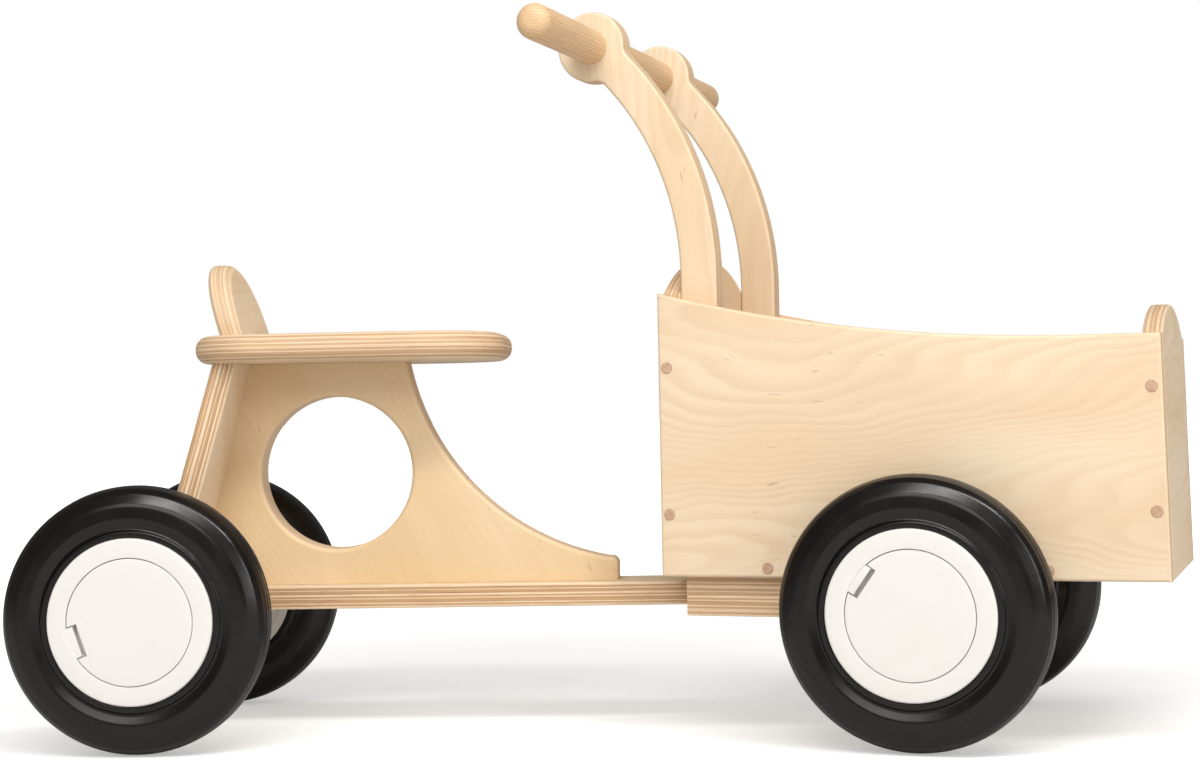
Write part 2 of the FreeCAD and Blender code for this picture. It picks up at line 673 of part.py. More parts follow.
def head_point(along, across):
    """A point from the head's centre: along the bend's radius, and across it
    on the side where the arm comes up."""
    c, s = cos_of(d.head_angle), sin_of(d.head_angle)
    return (bar_x + along * c + across * s, bar_z + along * s - across * c)


def neck(bend):
    """Where the bend of this radius runs into the round head."""
    along = (bend * bend - mid_bend * mid_bend - d.arm_head * d.arm_head) / (2 * mid_bend)
    return head_point(along, root_of(d.arm_head * d.arm_head - along * along))


neck_out, neck_in = neck(outer_bend), neck(d.arm_bend)
crown, back = head_point(d.arm_head, 0), head_point(0, -d.arm_head)
arm_body = new_body("arm_body")
sketch = sketch_on(arm_body, "arm_outline", "XZ_Plane", d.arm_outer - d.arm_thick)
outline(sketch, [
    (arm_x, floor_top), (arm_x + d.arm_depth, floor_top), (arm_x + d.arm_depth, d.arm_bend_z, outer_bend),
    neck_out + (d.arm_head,), crown + (d.arm_head,), back + (d.arm_head,), neck_in + (-d.arm_bend,),
    (arm_x, d.arm_bend_z)])
pad(arm_body, sketch, d.arm_thick)


def at_neck(edge):
    spot = edge.CenterOfMass
    return edge.BoundBox.YLength > 14 and any(
        math.hypot(spot.x - x.number, spot.z - z.number) < 0.1 for x, z in (neck_out, neck_in))


fillet(arm_body, d.neck_round, at_neck)
fillet(arm_body, d.arm_round, lambda e: e.BoundBox.YLength < 0.01 and e.BoundBox.ZMax > floor_top.number + 1)
arm_twin = mirrored("arm_twin", arm_body)
node(cut("handle_arm_right", arm_body, truck_joinery), "handle_arm_right", TRUCK)
node(cut("handle_arm_left", arm_twin, truck_joinery), "handle_arm_left", TRUCK)

node(group("handlebar", [bar_body]), "handlebar", TRUCK)
node(group("arm_screws", arm_screws), "arm_screws", TRUCK)

# axle rails under the box
for name, side in (("right", -1), ("left", 1)):
    low, high = (-d.rail_outer, -d.rail_inner) if side < 0 else (d.rail_inner, d.rail_outer)
    blank = box("rail_%s_blank" % name, d.rail_rear, d.rail_front, low, high, d.rail_bottom, d.box_bottom)
    node(cut("axle_rail_" + name, blank, truck_joinery), "axle_rail_" + name, TRUCK)
node(group("rail_screws", rail_screws), "rail_screws", TRUCK)

axle_set("front", front_rod, d.rail_outer, d.wheelbase, TRUCK)

# pivot bolt, glide washer, lower washer and lock nut
node(group("pivot_bolt", [bolt]), "pivot_bolt", TRUCK)
glide_top = rod("glide_blank", d.pivot_washer, d.box_bottom - d.beam_top - d.pivot_face_gap,
                [step(d.pivot_x, 0, d.beam_top + d.pivot_face_gap)])
node(cut("glide_washer", glide_top, bolt), "glide_washer", TRUCK)
lower_top = rod("lower_blank", d.pivot_washer, 2, [step(d.pivot_x, 0, d.beam_bottom - d.pivot_face_gap - 2)])
node(cut("pivot_washer", lower_top, bolt), "pivot_washer", TRUCK)
nut_blank = doc.addObject("Part::Prism", "nut_blank")
nut_blank.Polygon = 6
nut_blank.setExpression("Circumradius", (d.pivot_nut / cos_of(Size(30))).formula)
nut_blank.setExpression("Height", d.pivot_nut_thick.formula)
place(nut_blank, [step(d.pivot_x, 0, d.beam_bottom - d.pivot_face_gap - 2 - d.pivot_nut_thick)])
node(cut("pivot_nut", nut_blank, bolt), "pivot_nut", TRUCK)


# ------------------------------------------------------------ wheels
def wheel(prefix, steps):
    """Tyre, rim, bush and hub cap about a local Z that points outwards."""
    face, half_width, hub = d.hub_face, d.tyre_half, d.hub_radius
    recess = d.cap_radius + d.cap_gap
    ledge = face - d.cap_thick - d.cap_gap
    inside = -half_width

    body = new_body(prefix + "_rim_body")
    sketch = sketch_on(body, prefix + "_rim_profile", "XZ_Plane")
    outline(sketch, [
        (d.bush_radius, inside), (13, inside), (14.5, inside + 3), (44, inside + 3), (45.5, inside + 1),
        (hub, inside + 1),
        (hub, face - 1.5, 1.5), (hub - 1.5, face), (recess, face), (recess, ledge), (35, ledge),
        (34, 2), (14.5, 2), (13, 6), (d.bush_radius, 6)])
    revolve(body, sketch)
    sketch = sketch_on(body, prefix + "_tab", "XY_Plane", ledge - 1)
    tab = d.slot_length / 2 - 0.5
    outline(sketch, [(35, -tab), (recess + 2, -tab), (recess + 2, tab), (35, tab)])
    pad(body, sketch, d.cap_thick)
    rim = node(body, prefix + "_rim", steps)

    body = new_body(prefix + "_bush_body")
    sketch = sketch_on(body, prefix + "_bush_profile", "XZ_Plane")
    bore = d.axle_radius + d.bush_gap
    outline(sketch, [(bore, inside), (d.bush_radius, inside), (d.bush_radius, 6), (bore, 6)])
    revolve(body, sketch)
    node(body, prefix + "_bush", steps)

    body = new_body(prefix + "_cap_body")
    sketch = sketch_on(body, prefix + "_cap_profile", "XZ_Plane")
    cap_face = ledge + d.cap_thick
    outline(sketch, [(0, ledge), (d.cap_radius, ledge), (d.cap_radius, cap_face - 0.6, 0.6),
                     (d.cap_radius - 0.6, cap_face), (0, cap_face)])
    revolve(body, sketch)
    sketch = sketch_on(body, prefix + "_cap_slot", "XY_Plane")
    inner = recess - d.slot_depth
    width = d.slot_length / 2
    outline(sketch, [(inner, -width), (recess + 3, -width), (recess + 3, width), (inner, width)])
    pocket_through(body, sketch)
    node(body, prefix + "_hub_cap", steps)

    body = new_body(prefix + "_tyre_body")
    sketch = sketch_on(body, prefix + "_tyre_profile", "XZ_Plane")
    out = d.wheel_radius
    outline(sketch, [
        (hub, 1 - half_width), (hub + 4, 1 - half_width), (hub + 6, -half_width + 0.6, half_width * 1.7),
        (out - 9, 2.4 - half_width, 8), (out - 2.2, -10.5, arch(2.2, 10.5)), (out - 2.2, 10.5, 8),
        (out - 9, half_width - 2.4, half_width * 1.7), (hub + 4.6, half_width - 2.2), (hub + 3.6, half_width - 0.2, 1.9),
        (hub, half_width - 0.2)])
    revolve(body, sketch)
    sketch = sketch_on(body, prefix + "_tread_grooves", "XZ_Plane")
    for w in (-6.6, -2.2, 2.2, 6.6):
        outline(sketch, [(out - 1.4, w - 0.7), (out + 3, w - 0.7), (out + 3, w + 0.7), (out - 1.4, w + 0.7)])
    revolve(body, sketch, "PartDesign::Groove")
    node(body, prefix + "_tyre", steps)


for corner, frame_steps, x, slot in (
        ("rear", FRAME, 0, d.rear_slot_turn), ("front", TRUCK, d.wheelbase, d.front_slot_turn)):
    for name, side, angle in (("right", -1, 90), ("left", 1, -90)):
        wheel("%s_%s" % (corner, name), frame_steps + [
            step(x, side * d.track / 2, axle_z, X, angle), step(0, 0, 0, Z, slot)])

# ------------------------------------------------------------ check and export
doc.recompute()
for obj in doc.Objects:
    if "Invalid" in obj.State or "Error" in obj.State:
        raise RuntimeError("%s did not recompute: %s" % (obj.Name, obj.State))
for part in nodes:
    if part.Shape.isNull() or not part.Shape.isValid() or not part.Shape.Solids:
        raise RuntimeError("%s has no valid solid" % part.Label)
    part.Shape.exportStep("parts/%s.step" % part.Label)
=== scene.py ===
import json
import math

import bmesh
import bpy
from mathutils import Matrix, Vector


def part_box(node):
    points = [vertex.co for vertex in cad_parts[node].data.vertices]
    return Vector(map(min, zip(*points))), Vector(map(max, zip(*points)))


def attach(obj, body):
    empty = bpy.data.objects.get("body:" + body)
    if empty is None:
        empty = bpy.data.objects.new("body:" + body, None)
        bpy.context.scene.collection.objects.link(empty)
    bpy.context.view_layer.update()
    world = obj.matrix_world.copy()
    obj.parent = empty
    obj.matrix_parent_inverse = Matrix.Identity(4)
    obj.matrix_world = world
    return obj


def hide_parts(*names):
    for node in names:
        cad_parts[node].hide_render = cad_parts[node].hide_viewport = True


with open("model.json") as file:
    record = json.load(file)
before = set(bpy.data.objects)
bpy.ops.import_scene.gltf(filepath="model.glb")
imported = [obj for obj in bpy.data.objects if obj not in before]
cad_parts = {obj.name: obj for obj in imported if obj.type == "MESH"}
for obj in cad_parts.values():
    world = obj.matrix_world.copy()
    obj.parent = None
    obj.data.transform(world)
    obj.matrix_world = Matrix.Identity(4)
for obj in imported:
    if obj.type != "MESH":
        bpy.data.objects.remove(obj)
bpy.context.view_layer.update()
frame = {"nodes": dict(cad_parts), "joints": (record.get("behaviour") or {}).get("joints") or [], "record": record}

MM = 0.001
UP = Vector((0, 0, 1))
joints = {joint["name"]: joint for joint in frame["joints"]}


# ------------------------------------------------------------ where things are
def middle(node):
    low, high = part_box(node)
    return (Vector(low) + Vector(high)) / 2


def size(node):
    low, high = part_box(node)
    return Vector(high) - Vector(low)


# the truck stands swung about the pivot bolt, so its boards lie along truck_x
# and truck_y, and those of the frame along frame_x and frame_y
truck_y = Vector(joints["front_right_spin"]["axis"])
truck_x = truck_y.cross(UP)
frame_x = Vector((1, 0, 0))
frame_y = Vector((0, 1, 0))


def tilted(forward, lean):
    """The level direction forward, tipped up by lean degrees."""
    a = math.radians(lean)
    return forward * math.cos(a) + UP * math.sin(a)


BACK_LEAN = 14.6      # the back panel leans forward towards the seat
REST_LEAN = 16.6      # the backrest leans back
FRONT_RAKE = 1.4      # the cargo box's front panel leans back


# ------------------------------------------------------------ node writing
class Tree:
    """Adds nodes to one node tree and joins them up."""

    def __init__(self, tree):
        self.tree, self.nodes, self.links = tree, tree.nodes, tree.links

    def feed(self, socket, source):
        if isinstance(source, bpy.types.Node):
            source = source.outputs[0]
        if isinstance(source, bpy.types.NodeSocket):
            self.links.new(source, socket)
        elif source is not None:
            socket.default_value = source

    def put(self, kind, *sources, named=None, **settings):
        node = self.nodes.new(kind)
        for key, value in settings.items():
            setattr(node, key, value)
        for i, source in enumerate(sources):
            self.feed(node.inputs[i], source)
        for key, source in (named or {}).items():
            self.feed(node.inputs[key], source)
        return node

    def sum(self, a, b):
        return self.put("ShaderNodeMath", a, b, operation="ADD").outputs[0]

    def less(self, a, b):
        return self.put("ShaderNodeMath", a, b, operation="SUBTRACT").outputs[0]

    def times(self, a, b):
        return self.put("ShaderNodeMath", a, b, operation="MULTIPLY").outputs[0]

    def over(self, a, b):
        return self.put("ShaderNodeMath", a, b, operation="DIVIDE").outputs[0]

    def do(self, operation, *sources):
        return self.put("ShaderNodeMath", *sources, operation=operation).outputs[0]

    def ramp(self, value, start, end, low=0.0, high=1.0):
        """A smooth rise from low to high as value goes from start to end."""
        node = self.put("ShaderNodeMapRange", interpolation_type="SMOOTHSTEP")
        for i, source in enumerate((value, start, end, low, high)):
            self.feed(node.inputs[i], source)
        return node.outputs[0]

    def xyz(self, x, y, z):
        return self.put("ShaderNodeCombineXYZ", x, y, z).outputs[0]

    def stretched(self, *parts):
        """A vector of three parts, each a value or a (value, waves per metre) pair."""
        return self.xyz(*(self.times(*part) if isinstance(part, tuple) else part for part in parts))

    def noise(self, vector, scale=1.0, detail=2.0, rough=0.5):
        return self.put("ShaderNodeTexNoise", named={
            "Vector": vector, "Scale": scale, "Detail": detail, "Roughness": rough}).outputs[0]

    def tint(self, factor, a, b, blend="MIX"):
        node = self.put("ShaderNodeMix", data_type="RGBA", blend_type=blend)
        for socket, source in ((node.inputs[0], factor), (node.inputs[6], a), (node.inputs[7], b)):
            self.feed(socket, source)
        return node.outputs[2]


def srgb(r, g, b):
    """A colour from everyday 0 to 255 values."""
    def linear(c):
        c /= 255
        return c / 12.92 if c <= 0.04045 else ((c + 0.055) / 1.055) ** 2.4
    return (linear(r), linear(g), linear(b), 1)


def shader_group(name, inputs, outputs):
    """An empty shader node group with named sockets: (Tree, inputs, output node)."""
    made = bpy.data.node_groups.new(name, "ShaderNodeTree")
    for label, kind, default in inputs:
        socket = made.interface.new_socket(name=label, in_out="INPUT", socket_type="NodeSocket" + kind)
        if default is not None:
            socket.default_value = default
    for label, kind in outputs:
        made.interface.new_socket(name=label, in_out="OUTPUT", socket_type="NodeSocket" + kind)
    tree = Tree(made)
    return tree, tree.put("NodeGroupInput").outputs, tree.put("NodeGroupOutput").inputs


# ------------------------------------------------------------ shared effects
def make_veneer():
    """Rotary-cut birch: flowing growth rings, fine fibres and a few flecks.
    X runs along the grain, and Wave is how far the rings sway, in metres."""
    tree, given, out = shader_group(
        "birch veneer",
        [("Vector", "Vector", None), ("Seed", "Float", 0.0), ("Rings", "Float", 44.0),
         ("Wave", "Float", 0.012)],
        [("Ring", "Float"), ("Fibre", "Float"), ("Tone", "Float"), ("Fleck", "Float")])
    seed, wave = given["Seed"], given["Wave"]
    parts = tree.put("ShaderNodeSeparateXYZ", given["Vector"]).outputs
    x = tree.sum(parts[0], tree.times(seed, 3.7))
    y, z = parts[1], parts[2]

    # the grain's own way across the board: a slow drift and a quicker ripple
    lazy = tree.noise(tree.stretched((x, 6.0), (y, 9.0), (seed, 1.3)), detail=1)
    quick = tree.noise(tree.stretched((x, 21), (y, 34), seed), detail=2)
    drift = tree.times(tree.less(lazy, 0.5), tree.times(wave, 2.6))
    ripple = tree.times(tree.less(quick, 0.5), wave)
    flow = tree.sum(y, tree.sum(drift, ripple))

    # growth rings: each darkens slowly and ends sharply
    field = tree.noise(tree.stretched((x, 1.5), (flow, 8.5), seed), detail=1.5, rough=0.45)
    phase = tree.do("FRACT", tree.times(field, given["Rings"]))
    rise = tree.ramp(phase, 0.1, 0.78)
    fall = tree.ramp(phase, 0.8, 1.0, 1.0, 0.0)
    strength = tree.noise(tree.stretched((x, 3.0), (flow, 24), seed), detail=2)
    tree.feed(out["Ring"], tree.times(tree.times(rise, fall), tree.ramp(strength, 0.3, 0.72, 0.12, 1.0)))

    fibre = tree.noise(tree.stretched((x, 22), (flow, 900), (z, 900)), detail=3, rough=0.6)
    tree.feed(out["Fibre"], fibre)
    tree.feed(out["Tone"], tree.noise(tree.stretched((x, 4.0), (flow, 13), seed), detail=2))

    # short dark flecks that keep to a few patches
    spots = tree.noise(tree.stretched((x, 75), (flow, 520), tree.sum(z, seed)), detail=1)
    patch = tree.noise(tree.stretched((x, 9), (y, 14), seed), detail=1)
    tree.feed(out["Fleck"], tree.times(tree.ramp(spots, 0.68, 0.8), tree.ramp(patch, 0.54, 0.7)))
    return tree.tree


def make_plies():
    """The glued layers of a plywood board, seen where it is cut: Z runs
    through the board from its middle."""
    tree, given, out = shader_group(
        "plywood layers",
        [("Vector", "Vector", None), ("Half Thickness", "Float", 0.006), ("Layer", "Float", 0.00133),
         ("Seed", "Float", 0.0)],
        [("Cross Layer", "Float"), ("Glue", "Float"), ("Face", "Float"), ("Streak", "Float"),
         ("Shade", "Float")])
    seed, half, thick = given["Seed"], given["Half Thickness"], given["Layer"]
    parts = tree.put("ShaderNodeSeparateXYZ", given["Vector"]).outputs
    x, y, z = parts[0], parts[1], parts[2]

    # which layer this is, counted up from the low face: they wander a little
    # along the board, and some are thicker than others
    wander = tree.noise(tree.stretched((x, 30), (y, 30), seed), detail=2)
    depth = tree.over(tree.sum(z, half), thick)
    depth = tree.sum(depth, tree.times(tree.less(wander, 0.5), 0.22))
    swing = tree.do("SINE", tree.sum(tree.times(depth, 1.9), tree.times(seed, 2.3)))
    depth = tree.sum(depth, tree.times(swing, 0.3))
    whole = tree.do("FLOOR", depth)
    part = tree.do("FRACT", depth)
    tree.feed(out["Cross Layer"], tree.do("ABSOLUTE", tree.do("MODULO", whole, 2.0)))

    # the glue between two layers, fainter here and there
    edge = tree.do("MINIMUM", part, tree.less(1.0, part))
    fade = tree.noise(tree.stretched((x, 14), (y, 14), tree.sum(tree.times(z, 420), seed)), detail=2)
    line = tree.ramp(edge, 0.03, 0.17, 1.0, 0.0)
    tree.feed(out["Glue"], tree.times(line, tree.ramp(fade, 0.34, 0.62, 0.15, 1.0)))

    # one where the outermost layer, the face veneer, shows
    near_face = tree.over(tree.less(tree.do("ABSOLUTE", z), half), thick)
    tree.feed(out["Face"], tree.ramp(near_face, -0.75, -0.45))

    streak = tree.stretched((x, 60), (y, 60), tree.sum(tree.times(z, 1500), seed))
    tree.feed(out["Streak"], tree.noise(streak, detail=3, rough=0.6))
    shade = tree.stretched((x, 3), (y, 3), tree.sum(tree.times(whole, 5.3), seed))
    tree.feed(out["Shade"], tree.noise(shade, detail=1))
    return tree.tree


def make_satin():
    """The slightly uneven sheen and fine grain of a moulded or rolled face."""
    tree, given, out = shader_group(
        "satin grain",
        [("Vector", "Vector", None), ("Grain", "Float", 900.0), ("Smoothest", "Float", 0.35),
         ("Roughest", "Float", 0.5)],
        [("Roughness", "Float"), ("Height", "Float"), ("Patch", "Float")])
    patch = tree.noise(given["Vector"], scale=26, detail=4, rough=0.6)
    fine = tree.noise(given["Vector"], scale=given["Grain"], detail=2)
    tree.feed(out["Roughness"], tree.ramp(patch, 0.3, 0.7, given["Smoothest"], given["Roughest"]))
    tree.feed(out["Height"], fine)
    tree.feed(out["Patch"], patch)
    return tree.tree


veneer, plies, satin = make_veneer(), make_plies(), make_satin()


# ------------------------------------------------------------ materials
def material(name):
    """A new material: (material, its Tree, its Principled shader)."""
    made = bpy.data.materials.new(name)
    made.use_nodes = True
    tree = Tree(made.node_tree)
    return made, tree, tree.nodes["Principled BSDF"]


def local(tree, along, through, centre):
    """Object coordinates from centre, turned so that X runs along the piece
    and Z through it."""
    along = (along - through * along.dot(through)).normalized()
    across = through.cross(along)
    turn = Matrix((along, across, through))
    node = tree.put("ShaderNodeMapping", tree.put("ShaderNodeTexCoord").outputs["Object"])
    node.inputs["Rotation"].default_value = turn.to_euler("XYZ")
    node.inputs["Location"].default_value = -(turn @ centre)
    return node.outputs[0]


def group(tree, made, **values):
    """The outputs of one use of a shared effect, with its inputs set."""
    node = tree.put("ShaderNodeGroup", node_tree=made)
    for key, value in values.items():
        tree.feed(node.inputs[key.replace("_", " ")], value)
    return node.outputs


def bump(tree, shader, height, distance, strength):
    node = tree.put("ShaderNodeBump", named={"Height": height, "Distance": distance, "Strength": strength})
    tree.feed(shader.inputs["Normal"], node)


PALE_FACES = srgb(230, 210, 182), srgb(223, 197, 162)
# painted warm bounce light and shade: a more golden copy of the pale faces, for the centre web in the shade under
# the seat
WARM_BOUNCE_FACES = srgb(228, 203, 165), srgb(219, 189, 145)
RING = srgb(206, 173, 132)
FLECK = srgb(140, 96, 58)
LONG_LAYER = srgb(230, 204, 170)
CROSS_LAYER = srgb(192, 152, 111)
GLUE_LINE = srgb(136, 90, 58)
BEECH_PALE, BEECH_DARK = srgb(224, 190, 148), srgb(212, 175, 132)
BEECH_FIBRE, BEECH_RAY = srgb(172, 128, 86), srgb(140, 94, 60)
END_PORE = srgb(120, 84, 62)


def birch_ply(name, thickness, along, through, centre, seed, layers, contrast, faces, ring):
    """Lacquered birch plywood for one board: veneer on its two faces, layers
    wherever it is cut. contrast is how strongly the layers stand out, faces
    are the veneer's pale and warm tones, and ring how strong its rings are.
    On the centre web the pair is a more golden copy, which is painted warm
    bounce light and shade from under the seat."""
    made, tree, shader = material(name)
    here = local(tree, along, through, centre)
    face = group(tree, veneer, Vector=here, Seed=seed)
    cut = group(tree, plies, Vector=here, Half_Thickness=thickness / 2, Layer=thickness / layers, Seed=seed)

    skin = tree.tint(tree.ramp(face["Tone"], 0.3, 0.72), *faces)
    skin = tree.tint(tree.times(face["Ring"], ring), skin, RING)
    skin = tree.tint(tree.times(tree.less(0.62, face["Fibre"]), 0.35), skin, RING)
    skin = tree.tint(tree.times(face["Fleck"], 0.75), skin, FLECK)

    layer = tree.tint(tree.times(cut["Cross Layer"], contrast), LONG_LAYER, CROSS_LAYER)
    layer = tree.tint(tree.times(tree.ramp(cut["Streak"], 0.5, 0.8), 0.5 * contrast), layer, GLUE_LINE)
    layer = tree.tint(tree.times(tree.ramp(cut["Shade"], 0.35, 0.7), 0.4 * contrast), layer, CROSS_LAYER)
    layer = tree.tint(tree.times(cut["Glue"], 0.62 * contrast), layer, GLUE_LINE)
    tree.feed(shader.inputs["Base Color"], tree.tint(cut["Face"], layer, skin))

    dull = tree.sum(tree.times(face["Fibre"], 0.16), tree.times(face["Ring"], 0.06))
    tree.feed(shader.inputs["Roughness"], tree.sum(dull, 0.42))
    height = tree.sum(tree.times(face["Fibre"], 0.6), tree.times(face["Ring"], -0.3))
    height = tree.less(height, tree.times(cut["Glue"], tree.less(1.0, cut["Face"])))
    bump(tree, shader, height, 0.06 * MM, 0.6)
    shader.inputs["Specular IOR Level"].default_value = 0.35
    shader.inputs["Coat Weight"].default_value = 0.06
    shader.inputs["Coat Roughness"].default_value = 0.35
    return made


PITH_AWAY = 19 * MM       # from the bar's middle to the heart of its tree


def beech_bar():
    """Turned beech: growth rings about a far pith, and short dark rays."""
    made, tree, shader = material("beech bar")
    here = local(tree, truck_y, truck_x, middle("handlebar"))
    parts = tree.put("ShaderNodeSeparateXYZ", here).outputs
    x, y, z = parts[0], parts[1], parts[2]
    side = tree.sum(y, PITH_AWAY)
    reach = tree.do("SQRT", tree.sum(tree.times(side, side), tree.times(z, z)))
    sway = tree.noise(tree.stretched((x, 6), (y, 40), (z, 40)), detail=2)
    ring = tree.do("FRACT", tree.sum(tree.times(reach, 520), tree.times(sway, 2.4)))
    rays = tree.noise(tree.stretched((x, 260), (y, 1400), (z, 1400)), detail=1)
    fibre = tree.noise(tree.stretched((x, 24), (y, 1500), (z, 1500)), detail=3)
    colour = tree.tint(tree.ramp(ring, 0.3, 0.95), BEECH_PALE, BEECH_DARK)
    colour = tree.tint(tree.times(tree.ramp(fibre, 0.42, 0.75), 0.35), colour, BEECH_FIBRE)
    colour = tree.tint(tree.times(tree.ramp(rays, 0.63, 0.74), 0.55), colour, BEECH_RAY)
    tree.feed(shader.inputs["Base Color"], colour)
    tree.feed(shader.inputs["Roughness"], tree.sum(tree.times(fibre, 0.2), 0.36))
    bump(tree, shader, fibre, 0.05 * MM, 0.6)
    shader.inputs["Specular IOR Level"].default_value = 0.4
    shader.inputs["Coat Weight"].default_value = 0.08
    shader.inputs["Coat Roughness"].default_value = 0.3
    return made


def plug_wood(name, light, dark, along):
    """End grain of a small dowel, cut flush and lacquered."""
    made, tree, shader = material(name)
    here = local(tree, along, along.orthogonal().normalized(), Vector((0, 0, 0)))
    parts = tree.put("ShaderNodeSeparateXYZ", here).outputs
    rings = tree.noise(tree.stretched((parts[0], 20), (parts[1], 320), (parts[2], 900)), detail=3)
    pores = tree.noise(here, scale=2600, detail=1)
    tone = tree.noise(here, scale=46, detail=1)
    colour = tree.tint(tree.ramp(rings, 0.35, 0.65), light, dark)
    colour = tree.tint(tree.times(tree.ramp(tone, 0.4, 0.62), 0.45), colour, dark)
    colour = tree.tint(tree.times(tree.ramp(pores, 0.55, 0.7), 0.4), colour, END_PORE)
    tree.feed(shader.inputs["Base Color"], colour)
    tree.feed(shader.inputs["Roughness"], tree.sum(tree.times(pores, 0.2), 0.4))
    bump(tree, shader, pores, 0.05 * MM, 0.5)
    return made


def moulded(name, colour, bloom_colour, smoothest, roughest, grain, depth, specular):
    """Moulded plastic or rubber: even colour with a faint bloom. The grain is
    in waves per metre and its depth in metres."""
    made, tree, shader = material(name)
    where = tree.put("ShaderNodeTexCoord").outputs["Object"]
    grained = group(tree, satin, Vector=where, Grain=grain, Smoothest=smoothest, Roughest=roughest)
    bloom = tree.ramp(grained["Patch"], 0.42, 0.8)
    tree.feed(shader.inputs["Base Color"], tree.tint(tree.times(bloom, 0.5), colour, bloom_colour))
    tree.feed(shader.inputs["Roughness"], grained["Roughness"])
    bump(tree, shader, grained["Height"], depth, 0.5)
    shader.inputs["Specular IOR Level"].default_value = specular
    return made


def zinc_steel():
    """Zinc-plated steel with a fine drawn grain and dull cloudy patches."""
    made, tree, shader = material("zinc steel")
    where = tree.put("ShaderNodeTexCoord").outputs["Object"]
    grained = group(tree, satin, Vector=where, Grain=1800.0, Smoothest=0.24, Roughest=0.46)
    cloud = tree.ramp(grained["Patch"], 0.35, 0.7)
    tree.feed(shader.inputs["Base Color"], tree.tint(cloud, srgb(188, 189, 190), srgb(160, 162, 166)))
    shader.inputs["Metallic"].default_value = 1.0
    tree.feed(shader.inputs["Roughness"], grained["Roughness"])
    bump(tree, shader, grained["Height"], 0.03 * MM, 0.5)
    return made


tyre_rubber = moulded("tyre rubber", srgb(9, 5, 3), srgb(15, 10, 7), 0.22, 0.31, 1500.0, 0.03 * MM, 0.42)
hub_white = moulded("white hub", srgb(226, 222, 218), srgb(222, 217, 211), 0.34, 0.46, 700.0, 0.03 * MM, 0.4)
bush_white = moulded("nylon bush", srgb(222, 216, 200), srgb(205, 198, 180), 0.4, 0.55, 900.0, 0.04 * MM, 0.4)
steel = zinc_steel()
beech = beech_bar()
plug_pink = plug_wood("plug end grain", srgb(205, 172, 146), srgb(184, 146, 120), truck_y)
dowel_wood = plug_wood("dowel wood", srgb(214, 184, 148), srgb(192, 156, 118), UP)


# ------------------------------------------------------------ meshes
WELD = 1e-6               # points of the CAD surface nearer than this are one
SPECK = 1e-7              # anything smaller than this is nothing


def linked(name, mesh):
    obj = bpy.data.objects.new(name, mesh)
    bpy.context.scene.collection.objects.link(obj)
    return obj


def settled(obj):
    """The object with its modifiers worked into its mesh."""
    bpy.context.view_layer.update()
    graph = bpy.context.evaluated_depsgraph_get()
    mesh = bpy.data.meshes.new_from_object(
        obj.evaluated_get(graph), preserve_all_data_layers=True, depsgraph=graph)
    old = obj.data
    obj.modifiers.clear()
    obj.data = mesh
    mesh.name = obj.name
    bpy.data.meshes.remove(old)
    return obj


def smoothed(mesh, angle):
    mesh.polygons.foreach_set("use_smooth", [True] * len(mesh.polygons))
    mesh.set_sharp_from_angle(angle=math.radians(angle))


def level_normals(obj):
    """Shades flat faces as flat right up to their eased edges."""
    obj.modifiers.new("flat faces stay flat", "WEIGHTED_NORMAL").keep_sharp = True
    settled(obj)


def welded(node):
    """A copy of a CAD node's surface as one skin of large flat faces."""
    bm = bmesh.new()
    bm.from_mesh(frame["nodes"][node].data)
    bmesh.ops.remove_doubles(bm, verts=bm.verts, dist=WELD)
    bmesh.ops.dissolve_limit(bm, angle_limit=math.radians(0.5), verts=bm.verts, edges=bm.edges)
    mesh = bpy.data.meshes.new(node + "_finished")
    bm.to_mesh(mesh)
    bm.free()
    return mesh


def eased(node, finish, ease):
    """The node's own shape with its sharp edges sanded to the radius ease."""
    obj = linked(node + "_finished", welded(node))
    obj.data.materials.clear()
    obj.data.materials.append(finish)
    soften = obj.modifiers.new("eased edges", "BEVEL")
    soften.width = ease
    soften.segments = 3
    soften.limit_method = "ANGLE"
    soften.angle_limit = math.radians(32)
    soften.use_clamp_overlap = False
    settled(obj)
    smoothed(obj.data, 48)
    level_normals(obj)
    place_in(obj, node)


def body_of(node):
    for name, members in frame["record"]["behaviour"]["bodies"].items():
        if node in members:
            return name


def place_in(obj, node):
    """Makes the finished piece stand for its CAD node, on the node's body."""
    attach(obj, body_of(node))
    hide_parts(node)


def rounded(corners, steps=6):
    """An open profile of (x, y, radius) corners, each bent in a round of so
    many steps."""
    points = []
    for i, (x, y, radius) in enumerate(corners):
        here = Vector((x, y))
        if not radius or i in (0, len(corners) - 1):
            points.append(here)
            continue
        back = (Vector(corners[i - 1][:2]) - here).normalized()
        on = (Vector(corners[i + 1][:2]) - here).normalized()
        half = back.angle(on) / 2
        reach = radius / math.tan(half)
        centre = here + (back + on).normalized() * (radius / math.sin(half))
        start, end = here + back * reach - centre, here + on * reach - centre
        sweep = start.angle_signed(end)
        for k in range(steps + 1):
            turn = Matrix.Rotation(-sweep * k / steps, 2)
            points.append(centre + turn @ start)
    return points


def loop_of(corners):
    """A closed profile of (radius, height, rounding) corners in millimetres."""
    wrapped = corners[-1:] + corners + corners[:1]
    return [p * MM for p in rounded(wrapped)[1:-1]]


